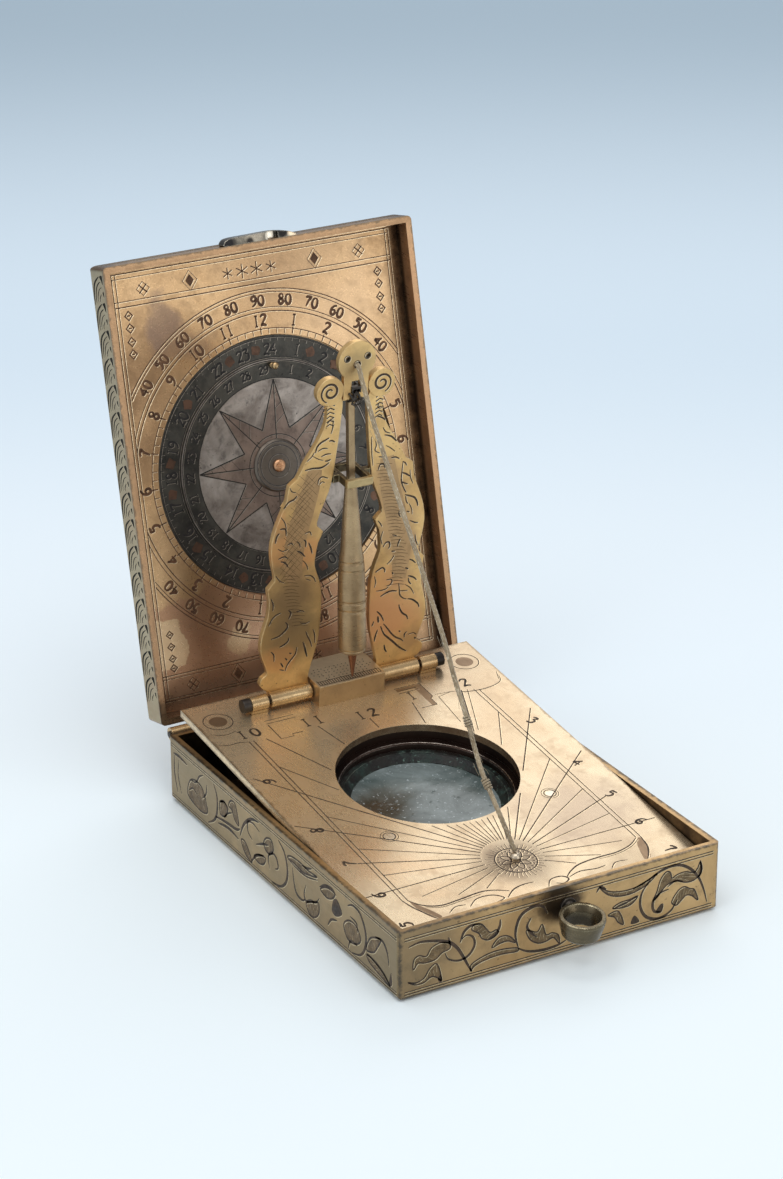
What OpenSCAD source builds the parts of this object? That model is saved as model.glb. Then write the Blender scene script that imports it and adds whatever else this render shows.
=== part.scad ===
// Inclining sundial: a pocket compendium in gilt brass, millimetres, +Z up, +Y toward the lid hinge.
// The origin is the centre of the case's flat underside.

/* [Case] */
// Outer width of case and lid
case_w = 64; // [60:1:70]
// Outer length of case and lid
case_l = 85.8; // [82:0.2:90]
// Height of the case
case_h = 13.2; // [12.8:0.1:15]
// Thickness of the side walls
wall = 1.25; // [1:0.05:1.6]
// Thickness of the floor of case and lid
floor_t = 1.1; // [0.8:0.1:1.3]
// Rounding of the lower edges of the case
edge_r = 1.4; // [0.8:0.1:2]
// Rounding of the four upright corners
corner_r = 0.9; // [0.5:0.1:1.2]

/* [Lid] */
// Depth of the lid
lid_depth = 5.8; // [5.4:0.1:7]
// How far the open lid leans back from upright, degrees
lid_lean = 12.5; // [5:0.5:20]
// Radius of the lid hinge's knuckles
lid_knuckle_r = 1.3; // [1.1:0.05:1.4]
// Radius of the lid hinge's pin
lid_pin_r = 0.6; // [0.4:0.05:0.7]
// Radius of the hour disc
hour_disc_r = 24.5; // [22:0.1:25]
// Radius of the star disc
star_disc_r = 20; // [17:0.1:21]

/* [Dial plate] */
// How far the plate is raised at its rear edge, degrees
plate_tilt = 6.2; // [0:0.1:12]
// Distance from the plate's hinge axis to its rear edge
plate_len = 81.6; // [80:0.1:82]
// Width of the plate
plate_w = 61.1; // [58:0.1:61.2]
// Thickness of the plate
plate_t = 1.4; // [1:0.1:1.6]
// Radius of the round window
window_r = 16.65; // [15.8:0.05:17]
// Distance from the plate's hinge axis to the window's centre
window_y = 43.6; // [40:0.1:46]
// Distance from the plate's hinge axis to the string's foot
foot_y = 13.4; // [12:0.1:16]

/* [Compass] */
// Outer radius of the compass box
box_r = 18.2; // [17.8:0.1:19]
// Height of the compass box below the plate
box_h = 7.1; // [7:0.05:7.2]
// Half the length of the needle
needle_l = 11.5; // [8:0.5:13]

/* [String support] */
// Distance from the plate's hinge axis to the support's pin
pin_y = 75.3; // [74:0.1:76]
// Height of the support's pin above the plate
pin_up = 1.8; // [1.7:0.05:2.2]
// Radius of the support's knuckles
knuckle_r = 1.45; // [1.2:0.05:1.5]
// Radius of the support's pin
pin_r = 0.75; // [0.5:0.05:0.9]
// Thickness of the dolphins and the head
support_t = 1.1; // [0.8:0.1:1.3]
// Height of the head disc's centre above the pin
head_h = 65.7; // [64:0.1:67]
// Radius of the head disc
head_r = 3.75; // [3.4:0.05:4]
// Radius of the two sight holes
sight_r = 0.55; // [0.3:0.05:0.6]

/* [Plumb bob] */
// Height of the bob's pivot above the support's pin
hook_h = 59.05; // [58.5:0.05:59.5]
// How far the bob's pivot lies behind the pin
hook_back = 2.8; // [2.6:0.1:3]
// Length of the bob from its pivot to its point
bob_l = 56.4; // [55.8:0.1:56.5]
// Largest radius of the bob
bob_r = 2.65; // [2.3:0.05:2.8]

/* [Hidden] */
$fn = 48;
gap = 0.25;
fit = 0.04;
inner_w = case_w - 2 * wall;
front_in = -case_l / 2 + wall;

// The lid's back edges are sharper than those of the case.
lid_side_r = 0.3;
lid_end_r = 1;

// Lid hinge: its axis lies behind the rear wall, a little under the rim.
lid_axis_back = 1.55;
lid_axis_down = 0.87;
lid_axis_y = case_l / 2 + lid_axis_back;
lid_axis_z = case_h - lid_axis_down;
lid_pin_end = 31.2;
lid_cuts = [-31, -19.5, -7, 7, 19.5, 31];

// Lid's layers, measured from the outside of its back.
lid_cy = case_l / 2 + 0.3;
dial_top = 2;
dial_hole_r = hour_disc_r + 0.2;
hour_z = [floor_t + 0.05, 1.6];
star_z = [1.65, 2];
boss_z = [2.05, 2.5];
boss_r = 5;
axle_r = 0.8;
axle_head_r = 1.2;
knob_at = 18.9;
star_turn = 4;

// Plate hinge, under the rim behind the front wall.
hinge_y = -40.6;
hinge_z = 9.4;
hinge_knuckle_r = 0.95;
hinge_pin_r = 0.45;
plate_front = 1.2;
plate_top = plate_t / 2;
plate_cuts = [24, 12];

// Cord ring on the front wall, a little right of the middle and leaning forward, and its stud.
cord_x = 0.8;
cord_y = -case_l / 2 - 4.75;
cord_top = 9.85;
cord_h = 3.9;
cord_r = 4.05;
cord_bore_r = 2.8;
cord_flare = 1.2;
cord_lip = 0.7;
cord_lean = 6;
stud_z = 9.6;
stud_r = 0.8;

rivet_x = 16.45;
rivet_y = 28.5;
rivet_r = 1;

// Compass, measured down from the plate's top.
box_in_r = 17.25;
box_under = -plate_t / 2 - box_h;
box_floor = 0.4;
bezel_z = plate_top - 3.4;
ring_z = plate_top - 4.8;
glass_z = plate_top - 6.4;
glass_t = 0.45;
glass_r = 17.1;
bezel_in_r = 15.7;
ring_in_r = 14.7;
ring_low_r = 13.6;
card_t = 0.15;
needle_t = 0.15;
needle_w = 1.7;
needle_z = box_under + box_floor + 0.55;

// Support's places along its pin, and its thickness behind the pin's axis.
block_half = 6.9;
block_front = 3.5;
block_back = 6.2;
block_up = 2.35;
knuckle_x = [block_half + gap, 15.6];
end_x = [16.2, 19.6];
pin_end = 21.2;
pin_head_r = 1.3;
face_back = 0.65;
volute_c = [5.22, 60.5];
volute_r = 2.7;
volute_rise = 0.1;
solder_gap = 0.01;
sight_x = 2.05;
sight_up = 0.65;
neck_half = 2.5;
neck_low = 58.3;
guard_h = 42.9;
guard_half = 2.6;
guard_front = -2.6;
guard_back = 4.7;
guard_bar = 0.7;
guard_tall = 1.5;

// Bob, measured down from its pivot.
rod_w = 1.2;
rod_l = 17.6;
bob_low = 51.4;
eye_r = 0.38;

// The string's points, chosen by hand, from the head's middle hole to the bead at the plate.
string_d = 0.9;
string_hole_r = 0.6;
string_route = [[0, 27.8, 84.7], [0, 27, 84.2], [-0.1, 25.4, 81.6], [-0.3, 20.5, 74.8], [-0.3, 12.4, 64.3],
                [-0.3, 4.4, 53.9], [-0.3, -3.4, 43.5], [-0.4, -7.4, 37.3], [-0.5, -11.3, 32.3],
                [-0.6, -16.1, 24.8], [-0.4, -19.6, 20.8], [-0.2, -23, 17.2], [0, -27.2, 12.8]];

// Half of the support's outline, from the volute down the outer side and up the inner side.
dolphin_outer = [[6.6, 59.6], [5.8, 58], [5.6, 56.3], [5.9, 54.2], [6.8, 52], [8.1, 49.7], [9.8, 47.1],
                 [11.2, 44.3],
                 [12.7, 43.2], [13.1, 40.4], [14.3, 37.3], [15.5, 33.8], [15.9, 30.6], [15.5, 27.4],
                 [14.9, 24.5], [16.3, 22.9], [15.9, 20.5], [16.1, 17], [17.2, 13.2], [17.3, 10],
                 [16.3, 7], [15.8, 5.2], [16.9, 4.4], [17.2, 3.1], [16.4, 2], [15.4, 1.2], [14.5, 0.3]];
dolphin_inner = [[7.6, 0.3], [7.3, 2.4], [6.7, 5.2], [5.6, 9.4], [5.2, 13.2], [5.1, 16.8], [5.2, 20.2],
                 [5.9, 23.2], [6.8, 25.8], [6.7, 28.2], [6.3, 30.6], [5.4, 32.7], [6.7, 34], [6.5, 35.6],
                 [5.8, 37.6], [4.6, 40.6], [3.85, 44], [3.45, 47.6], [3, 51.6], [2.7, 55.6], [2.6, 58.4],
                 [3.6, 60]];

// A smooth closed curve through points p, with n steps between neighbours.
function curve(p, n) = [for (i = [0 : len(p) - 1], k = [0 : n - 1])
    let (a = p[(i + len(p) - 1) % len(p)], b = p[i], c = p[(i + 1) % len(p)], d = p[(i + 2) % len(p)],
         t = k / n)
    0.5 * (2 * b + (c - a) * t + (2 * a - 5 * b + 4 * c - d) * t * t + (3 * b - a - 3 * c + d) * t * t * t)];

// The same through an open row of points.
function open_curve(p, n) = concat([for (i = [0 : len(p) - 2], k = [0 : n - 1])
    let (a = p[max(i - 1, 0)], b = p[i], c = p[i + 1], d = p[min(i + 2, len(p) - 1)], t = k / n)
    0.5 * (2 * b + (c - a) * t + (2 * a - 5 * b + 4 * c - d) * t * t + (3 * b - a - 3 * c + d) * t * t * t)],
    [p[len(p) - 1]]);

function unit(v) = v / norm(v);

module place_lid() {
    // the lid stands on its hinge end; its back is the local floor
    translate([0, lid_axis_y, lid_axis_z])
        rotate([90 - lid_lean, 0, 0])
            translate([0, lid_axis_back, -lid_depth - lid_axis_down])
                children();
}

module place_plate() {
    translate([0, hinge_y, hinge_z])
        rotate([plate_tilt, 0, 0])
            children();
}

module place_support() {
    place_plate()
        translate([0, pin_y, plate_top + pin_up])
            children();
}

module place_bob() {
    place_support()
        translate([0, hook_back, hook_h])
            rotate([-plate_tilt, 0, 0])
                children();
}

module along_x(x0, x1, r) {
    translate([x0, 0, 0])
        rotate([0, 90, 0])
            cylinder(h = x1 - x0, r = r);
}

module rounded_rect(w, l, r) {
    for (x = [-1, 1], y = [-1, 1])
        translate([x * (w / 2 - r), y * (l / 2 - r)])
            circle(r);
    square([w - 2 * r, l], center = true);
    square([w, l - 2 * r], center = true);
}

module low_rounded(w, h, r) {
    // an elevation w wide and h high whose two lower corners are rounded
    for (x = [-1, 1])
        translate([x * (w / 2 - r), r])
            circle(r);
    translate([-w / 2 + r, 0])
        square([w - 2 * r, h]);
    translate([-w / 2, r])
        square([w, h - r]);
}

module shell_block(w, l, h, side_r, end_r) {
    // a solid block with rounded upright corners and rounded lower edges, centred in plan
    intersection() {
        linear_extrude(h)
            rounded_rect(w, l, corner_r);
        translate([0, l / 2, 0])
            rotate([90, 0, 0])
                linear_extrude(l)
                    low_rounded(w, h + 1, side_r);
        translate([-w / 2, 0, 0])
            rotate([90, 0, 90])
                linear_extrude(w)
                    low_rounded(l, h + 1, end_r);
    }
}

module case_tray() {
    color("darkkhaki")
        difference() {
            shell_block(case_w, case_l, case_h, edge_r, edge_r);
            translate([0, 0, floor_t])
                linear_extrude(case_h)
                    square([inner_w, case_l - 2 * wall], center = true);
            translate([cord_x, front_in + 1, stud_z])
                rotate([90, 0, 0])
                    cylinder(h = wall + 2, r = stud_r);
        }
}

module plate_rests() {
    // two corner ledges that the lowered plate lies on
    rest_z = hinge_z - plate_top - 0.1;
    color("peru")
        for (x = [-1, 1])
            translate([x * (inner_w / 2 - 1.5), case_l / 2 - wall - 2, rest_z - 1])
                cube([3, 4, 2], center = true);
}

module front_lugs() {
    // four fixed knuckles with feet on the inside of the front wall
    color("goldenrod")
        difference() {
            for (x = [[-30.4, -plate_cuts[0] - gap], [-plate_cuts[1] + gap, -3], [3, plate_cuts[1] - gap],
                      [plate_cuts[0] + gap, 30.4]]) {
                translate([0, hinge_y, hinge_z])
                    along_x(x[0], x[1], hinge_knuckle_r);
                translate([x[0], front_in, hinge_z - 2.2])
                    cube([x[1] - x[0], hinge_y - front_in, 2.2]);
            }
            translate([0, hinge_y, hinge_z])
                along_x(-case_w, case_w, hinge_pin_r + fit);
        }
}

module plate_hinge_pin() {
    color("dimgray")
        translate([0, hinge_y, hinge_z])
            along_x(-30.5, 30.5, hinge_pin_r);
}

module place_cord_ring() {
    translate([cord_x, cord_y, cord_top])
        rotate([cord_lean, 0, 0])
            children();
}

module cord_ring() {
    // a tapered ring with an upright bore, open above and below
    color("darkkhaki")
        place_cord_ring()
            translate([0, 0, -cord_h])
                difference() {
                    rotate_extrude()
                        polygon([[0, 0], [3.1, 0], [3.35, 0.3], [cord_r - 0.15, 2.4],
                                 [cord_r, cord_h - 0.5], [cord_r - 0.12, cord_h], [0, cord_h]]);
                    translate([0, 0, -1])
                        cylinder(h = cord_h + 2, r = cord_bore_r);
                    translate([0, 0, cord_h - cord_flare])
                        rotate_extrude()
                            polygon([[0, 0], [cord_bore_r, 0], [cord_r - cord_lip, cord_flare],
                                     [cord_r - cord_lip + 0.1, cord_flare + 0.3],
                                     [0, cord_flare + 0.3]]);
                }
}

module ring_stud() {
    // a headed stud through the front wall that carries the ring
    color("dimgray")
        difference() {
            translate([cord_x, front_in, stud_z])
                rotate([90, 0, 0]) {
                    cylinder(h = wall + 1.3, r = stud_r);
                    translate([0, 0, -0.5])
                        cylinder(h = 0.5, r = 1.4);
                    translate([0, 0, wall])
                        cylinder(h = 0.5, r = 1.5);
                }
            place_cord_ring()
                translate([0, 0, -15])
                    cylinder(h = 30, r = cord_r - 0.15);
        }
}

module case_knuckles() {
    color("burlywood")
        difference() {
            for (i = [0, 2, 4]) {
                translate([0, lid_axis_y, lid_axis_z])
                    along_x(lid_cuts[i] + gap / 2, lid_cuts[i + 1] - gap / 2, lid_knuckle_r);
                translate([lid_cuts[i] + gap / 2, case_l / 2, lid_axis_z - 3.4])
                    cube([lid_cuts[i + 1] - lid_cuts[i] - gap, lid_axis_back - 0.5, 3.4]);
            }
            translate([0, lid_axis_y, lid_axis_z])
                along_x(-case_w, case_w, lid_pin_r + fit);
        }
}

module lid_hinge_pin() {
    color("dimgray")
        translate([0, lid_axis_y, lid_axis_z])
            along_x(-lid_pin_end, lid_pin_end, lid_pin_r);
}

module lid_tray() {
    color("sandybrown")
        place_lid()
            difference() {
                translate([0, case_l / 2, 0])
                    shell_block(case_w, case_l, lid_depth, lid_side_r, lid_end_r);
                translate([0, case_l / 2, floor_t])
                    linear_extrude(lid_depth)
                        square([inner_w, case_l - 2 * wall], center = true);
                translate([0, lid_cy, -1])
                    cylinder(h = floor_t + 2, r = axle_r);
            }
}

module lid_knuckles() {
    color("burlywood")
        place_lid()
            difference() {
                for (i = [1, 3]) {
                    translate([0, -lid_axis_back, lid_depth + lid_axis_down])
                        along_x(lid_cuts[i] + gap / 2, lid_cuts[i + 1] - gap / 2, lid_knuckle_r);
                    translate([lid_cuts[i] + gap / 2, -lid_axis_back + 0.5, lid_depth + lid_axis_down - 4.3])
                        cube([lid_cuts[i + 1] - lid_cuts[i] - gap, lid_axis_back - 0.5, 3.4]);
                    translate([lid_cuts[i] + gap / 2, -lid_axis_back + 0.5, lid_depth - 0.6])
                        cube([lid_cuts[i + 1] - lid_cuts[i] - gap, 0.7, 1.2]);
                }
                translate([0, -lid_axis_back, lid_depth + lid_axis_down])
                    along_x(-case_w, case_w, lid_pin_r + fit);
            }
}

module lid_dial() {
    // the engraved plate with a round opening for the discs
    color("lightsalmon")
        place_lid()
            translate([0, 0, floor_t])
                linear_extrude(dial_top - floor_t)
                    difference() {
                        translate([0, case_l / 2])
                            square([inner_w - 0.1, case_l - 2 * wall - 0.1], center = true);
                        translate([0, lid_cy])
                            circle(dial_hole_r, $fn = 96);
                    }
}

module lid_catch() {
    // a thumb piece of two overlapping leaves on the end wall
    leaf = curve([[-7.3, 0], [-7, 1], [-5.6, 1.35], [-2, 1.4], [2, 1.45], [4.2, 1.3], [6.2, 0.9], [7.6, 0],
                  [4, -0.2], [0, -0.2], [-4, -0.2]], 3);
    catch_deep = 2.2;
    color("darkkhaki")
        place_lid()
            translate([0, case_l, lid_depth - catch_deep])
                for (x = [[-8, 1.6, catch_deep], [1.5, 3.9, 1.2], [3.8, 8, catch_deep]])
                    linear_extrude(x[2])
                        intersection() {
                            polygon(leaf);
                            translate([x[0], 0])
                                square([x[1] - x[0], 5]);
                        }
}

module disc_axle() {
    // a headed rivet that carries both discs
    color("darkorange")
        place_lid()
            translate([0, lid_cy, 0])
                rotate_extrude()
                    polygon([[0, 0], [axle_r, 0], [axle_r, boss_z[1]], [axle_head_r, boss_z[1]],
                             [axle_head_r, 2.8], [1, 3.05], [0.5, 3.2], [0, 3.2]]);
}

module hour_disc() {
    color("dimgray")
        place_lid()
            translate([0, lid_cy, hour_z[0]])
                difference() {
                    cylinder(h = hour_z[1] - hour_z[0], r = hour_disc_r, $fn = 96);
                    translate([0, 0, -1])
                        cylinder(h = 3, r = axle_r + fit);
                }
}

module star_disc() {
    color("silver")
        place_lid()
            translate([0, lid_cy, star_z[0]])
                difference() {
                    cylinder(h = star_z[1] - star_z[0], r = star_disc_r, $fn = 96);
                    translate([0, 0, -1])
                        cylinder(h = 3, r = axle_r + fit);
                }
}

module index_knob() {
    // a small ball on a stalk for turning the star disc
    color("darkkhaki")
        place_lid()
            translate([0, lid_cy, star_z[1]])
                rotate([0, 0, -star_turn])
                    translate([0, knob_at, 0])
                        rotate_extrude()
                            polygon([[0, 0], [0.6, 0], [0.35, 0.25], [0.3, 0.6], [0.55, 0.8], [0.7, 1.1],
                                     [0.62, 1.45], [0.35, 1.7], [0, 1.8]]);
}

module boss_washer() {
    color("gray")
        place_lid()
            translate([0, lid_cy, boss_z[0]])
                difference() {
                    rotate_extrude()
                        polygon([[0, 0], [boss_r, 0], [boss_r, 0.15], [boss_r - 0.35, 0.45], [0, 0.45]]);
                    translate([0, 0, -1])
                        cylinder(h = 3, r = axle_r + fit);
                }
}

module dial_plate() {
    color("peachpuff")
        place_plate()
            translate([0, 0, -plate_t / 2])
                linear_extrude(plate_t)
                    difference() {
                        translate([-plate_w / 2, plate_front])
                            square([plate_w, plate_len - plate_front]);
                        translate([0, window_y])
                            circle(window_r, $fn = 96);
                        for (x = [-1, 1])
                            translate([x * rivet_x, rivet_y])
                                circle(rivet_r);
                        translate([0, foot_y])
                            circle(0.5);
                    }
}

module plate_knuckles() {
    color("burlywood")
        place_plate()
            difference() {
                for (x = [[-plate_cuts[0], -plate_cuts[1]], [plate_cuts[1], plate_cuts[0]]]) {
                    along_x(x[0], x[1], hinge_knuckle_r);
                    translate([x[0], 0, -plate_t / 2])
                        cube([x[1] - x[0], plate_front, plate_t]);
                }
                along_x(-case_w, case_w, hinge_pin_r + fit);
            }
}

module box_rivets() {
    // two flush rivets that hold the compass box's ears under the plate
    color("tan")
        place_plate()
            for (x = [-1, 1])
                translate([x * rivet_x, rivet_y, -plate_t / 2 - 0.8])
                    cylinder(h = plate_t + 0.8, r = rivet_r);
}

module scale_block() {
    // the block whose flat top carries the inclination scale
    round_r = 2.8;
    color("tan")
        place_support()
            difference() {
                translate([0, 0, -pin_up])
                    linear_extrude(pin_up + block_up) {
                        translate([-block_half, -block_front])
                            square([2 * block_half, block_front + block_back - round_r]);
                        translate([-block_half + round_r, 0])
                            square([2 * (block_half - round_r), block_back]);
                        for (x = [-1, 1])
                            translate([x * (block_half - round_r), block_back - round_r])
                                circle(round_r);
                    }
                along_x(-block_half - 1, block_half + 1, pin_r + fit);
            }
}

module end_knuckles() {
    color("burlywood")
        place_support()
            difference() {
                for (x = [[-end_x[1], -end_x[0]], end_x]) {
                    along_x(x[0], x[1], knuckle_r);
                    translate([x[0], -0.9, -pin_up])
                        cube([x[1] - x[0], 1.8, pin_up - 0.6]);
                }
                along_x(-pin_end, pin_end, pin_r + fit);
            }
}

module support_pin() {
    // the steel pin with its swollen ends
    color("dimgray")
        place_support() {
            along_x(-end_x[1], end_x[1], pin_r);
            for (x = [[-pin_end, -end_x[1] - 0.05], [end_x[1] + 0.05, pin_end]])
                along_x(x[0], x[1], pin_head_r);
        }
}

module compass_box() {
    // a turned bowl under the plate, with two ears for its rivets and a step for the glass
    color("sienna")
        place_plate()
            difference() {
                union() {
                    translate([0, window_y, box_under])
                        cylinder(h = box_h, r = box_r, $fn = 96);
                    for (x = [-1, 1])
                        intersection() {
                            translate([x * rivet_x, rivet_y, -plate_t / 2 - 0.8])
                                rotate([0, 0, x * 42.5])
                                    union() {
                                        cylinder(h = 0.8, r = 2.2);
                                        translate([-2.2, 0, 0])
                                            cube([4.4, 8, 0.8]);
                                    }
                            translate([0, window_y, box_under])
                                cylinder(h = box_h, r = 26);
                        }
                }
                translate([0, window_y, glass_z])
                    cylinder(h = 20, r = box_in_r, $fn = 96);
                translate([0, window_y, glass_z - glass_t])
                    cylinder(h = 20, r = box_in_r, $fn = 96);
                translate([0, window_y, box_under + box_floor])
                    cylinder(h = 20, r = box_in_r - 1, $fn = 96);
                for (x = [-1, 1])
                    translate([x * rivet_x, rivet_y, -5])
                        cylinder(h = 6, r = rivet_r);
            }
}

module glass_bezel() {
    color("saddlebrown")
        place_plate()
            translate([0, window_y, 0])
                rotate_extrude($fn = 96)
                    polygon([[box_in_r - 0.03, ring_z], [bezel_in_r, ring_z], [bezel_in_r, bezel_z - 0.3],
                             [bezel_in_r + 0.2, bezel_z], [box_in_r - 0.03, bezel_z]]);
}

module retaining_ring() {
    // the bevelled ring that presses the glass on its step
    color("darkslategray")
        place_plate()
            translate([0, window_y, 0])
                rotate_extrude($fn = 96)
                    polygon([[box_in_r - 0.03, glass_z], [ring_low_r, glass_z], [ring_low_r, glass_z + 0.15],
                             [ring_in_r, ring_z - 0.25], [ring_in_r + 0.15, ring_z],
                             [box_in_r - 0.03, ring_z]]);
}

module compass_glass() {
    color("lightsteelblue")
        place_plate()
            translate([0, window_y, glass_z - glass_t])
                cylinder(h = glass_t, r = glass_r, $fn = 96);
}

module compass_card() {
    color("wheat")
        place_plate()
            translate([0, window_y, box_under + box_floor])
                difference() {
                    cylinder(h = card_t, r = box_in_r - 1.1, $fn = 96);
                    translate([0, 0, -1])
                        cylinder(h = 2, r = 0.6);
                }
}

module needle_pivot() {
    // a sharp upright pin on which the needle balances
    color("dimgray")
        place_plate()
            translate([0, window_y, box_under + box_floor])
                rotate_extrude()
                    polygon([[0, 0], [0.5, 0], [0.5, 0.2], [0.2, 0.3], [0.16, 0.45], [0, 0.7]]);
}

module compass_needle() {
    color("steelblue")
        place_plate()
            translate([0, window_y, needle_z])
                linear_extrude(needle_t)
                    difference() {
                        polygon([[0, needle_l], [needle_w / 2, 0], [0, -needle_l], [-needle_w / 2, 0]]);
                        circle(0.5);
                    }
}

module needle_cap() {
    // the brass cap in the needle's middle, hollow below for the pivot's point
    color("gold")
        place_plate()
            translate([0, window_y, needle_z])
                rotate_extrude()
                    polygon([[0.3, -0.1], [0.47, -0.1], [0.47, needle_t], [0.75, needle_t], [0.5, 0.38],
                             [0, 0.45], [0, 0.2]]);
}

module string_bead() {
    // the turned bead that holds the string's foot in the plate
    color("silver")
        place_plate()
            translate([0, foot_y, 0])
                rotate_extrude()
                    polygon([[0, -plate_t / 2 - 0.3], [0.9, -plate_t / 2 - 0.3], [0.9, -plate_t / 2],
                             [0.46, -plate_t / 2], [0.46, plate_top], [0.9, plate_top],
                             [0.95, plate_top + 0.35],
                             [0.7, plate_top + 0.8], [0.35, plate_top + 1], [0, plate_top + 1]]);
}

// The side vector and the upper vector of the string's section at a point of its route.
function ring_at(p, i, r, n) = let (
    t = unit(p[min(i + 1, len(p) - 1)] - p[max(i - 1, 0)]),
    u = unit(cross(t, [1, 0, 0])),
    v = cross(t, u))
    [for (k = [0 : n - 1]) p[i] + r * (cos(360 * k / n) * u + sin(360 * k / n) * v)];

module gnomon_string() {
    sides = 8;
    path = open_curve(string_route, 3);
    rings = len(path);
    points = [for (i = [0 : rings - 1]) each ring_at(path, i, string_d / 2, sides)];
    skin = [for (i = [0 : rings - 2], k = [0 : sides - 1])
        [i * sides + k, (i + 1) * sides + k, (i + 1) * sides + (k + 1) % sides,
         i * sides + (k + 1) % sides]];
    head_end = [for (k = [0 : sides - 1]) k];
    foot_end = [for (k = [0 : sides - 1]) (rings - 1) * sides + sides - 1 - k];
    color("tan")
        polyhedron(points, concat(skin, [head_end, foot_end]));
}

module string_knot() {
    // the knot behind the head that keeps the string in its hole
    color("tan")
        place_support()
            translate([0, face_back + support_t, head_h - 0.7])
                rotate([-90, 0, 0])
                    rotate_extrude()
                        polygon([[0, 0], [0.75, 0], [0.95, 0.35], [0.9, 0.75], [0.6, 1.05], [0, 1.15]]);
}

module dolphin(side) {
    // one leaping dolphin, its tail curled into the volute and its head on the hinge
    body = open_curve(concat(dolphin_outer, dolphin_inner), 2);
    place_support()
        translate([0, face_back + support_t, 0])
            rotate([90, 0, 0])
                mirror([side < 0 ? 1 : 0, 0, 0])
                    difference() {
                        union() {
                            linear_extrude(support_t)
                                polygon(body);
                            translate([volute_c[0], volute_c[1], -volute_rise])
                                cylinder(h = support_t + 2 * volute_rise, r = volute_r);
                        }
                        // the foot follows the knuckle on which it is soldered
                        translate([0, 0, support_t + face_back])
                            along_x(5, 20, knuckle_r + solder_gap);
                    }
}

module left_dolphin() {
    color("goldenrod")
        dolphin(-1);
}

module right_dolphin() {
    color("goldenrod")
        dolphin(1);
}

module support_head() {
    // the round head between the volutes, with the string's hole, two sights and the bob's slot
    color("goldenrod")
        place_support()
            translate([0, face_back + support_t, 0])
                rotate([90, 0, 0])
                    linear_extrude(support_t)
                        difference() {
                            union() {
                                translate([0, head_h])
                                    circle(head_r);
                                translate([-neck_half, neck_low])
                                    square([2 * neck_half, head_h - neck_low - 2.6]);
                            }
                            translate([0, head_h - 0.7])
                                circle(string_hole_r);
                            for (x = [-1, 1])
                                translate([x * sight_x, head_h + sight_up])
                                    circle(sight_r);
                            translate([-0.95, 59.4])
                                square([1.9, 2.4]);
                        }
}

module support_knuckles() {
    color("burlywood")
        place_support()
            difference() {
                for (x = [[-knuckle_x[1], -knuckle_x[0]], knuckle_x])
                    along_x(x[0], x[1], knuckle_r);
                along_x(-pin_end, pin_end, pin_r + fit);
            }
}

module bob_guard() {
    // a square loop that keeps the bob's rod between the dolphins
    color("darkkhaki")
        place_support()
            translate([0, 0, guard_h - guard_tall / 2])
                linear_extrude(guard_tall) {
                    difference() {
                        translate([-guard_half, guard_front])
                            square([2 * guard_half, guard_back - guard_front]);
                        translate([-guard_half + guard_bar, guard_front + guard_bar])
                            square([2 * (guard_half - guard_bar), guard_back - guard_front - 2 * guard_bar]);
                    }
                    for (x = [-1, 1])
                        translate([x * (guard_half + 0.6), face_back + support_t / 2])
                            square([1.2, support_t], center = true);
                }
}

module bob_hook() {
    // an iron staple in the slot, with the small pin that the bob hangs from
    cheek_in = rod_w / 2 + 0.1;
    cheek_out = 0.93;
    color("dimgray")
        place_support() {
            for (x = [-1, 1])
                translate([x * (cheek_in + cheek_out) / 2, 0, 0])
                    rotate([90, 0, 90])
                        linear_extrude(cheek_out - cheek_in, center = true) {
                            translate([face_back - 0.3, 59.5])
                                square([hook_back - face_back + 0.3, 1.2]);
                            translate([hook_back, hook_h])
                                circle(0.85);
                        }
            translate([0, hook_back, hook_h])
                along_x(-cheek_out, cheek_out, eye_r - fit);
            translate([-cheek_out, face_back - 0.3, 60.2])
                cube([2 * cheek_out, 0.9, 0.5]);
        }
}

module bob_rod() {
    // the square rod with the eye that hangs on the staple
    color("darkkhaki")
        place_bob()
            difference() {
                union() {
                    translate([-rod_w / 2, -rod_w / 2, -rod_l])
                        cube([rod_w, rod_w, rod_l]);
                    along_x(-rod_w / 2, rod_w / 2, 0.75);
                }
                along_x(-2, 2, eye_r);
            }
}

module bob_body() {
    // the turned weight, widening downward, with its grooves
    color("olive")
        place_bob()
            rotate_extrude()
                polygon([[0, -rod_l], [0.9, -rod_l], [1.15, -rod_l - 1.2], [1.65, -25.4], [2.05, -31.2],
                         [2.3, -32.6], [2.15, -32.9], [2.32, -33.2], [2.4, -34.3], [2.3, -34.55],
                         [2.45, -34.8], [bob_r - 0.05, -40.4], [bob_r - 0.2, -40.7], [bob_r, -41],
                         [bob_r, -42.1], [bob_r - 0.15, -42.4], [bob_r, -42.7], [bob_r, -50.1],
                         [bob_r - 0.2, -50.4], [bob_r - 0.1, -50.7], [1.7, -bob_low], [0, -bob_low]]);
}

module bob_tip() {
    color("saddlebrown")
        place_bob()
            rotate_extrude()
                polygon([[0, -bob_low], [0.95, -bob_low], [0.75, -bob_low - 1.2], [0.3, -bob_l + 0.9],
                         [0.12, -bob_l + 0.1], [0, -bob_l]]);
}

case_tray();
plate_rests();
front_lugs();
plate_hinge_pin();
cord_ring();
ring_stud();
case_knuckles();
lid_hinge_pin();
lid_tray();
lid_knuckles();
lid_dial();
lid_catch();
disc_axle();
hour_disc();
star_disc();
index_knob();
boss_washer();
dial_plate();
plate_knuckles();
box_rivets();
scale_block();
end_knuckles();
support_pin();
compass_box();
glass_bezel();
retaining_ring();
compass_glass();
compass_card();
needle_pivot();
compass_needle();
needle_cap();
string_bead();
gnomon_string();
string_knot();
left_dolphin();
right_dolphin();
support_head();
support_knuckles();
bob_guard();
bob_hook();
bob_rod();
bob_body();
bob_tip();
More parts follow.
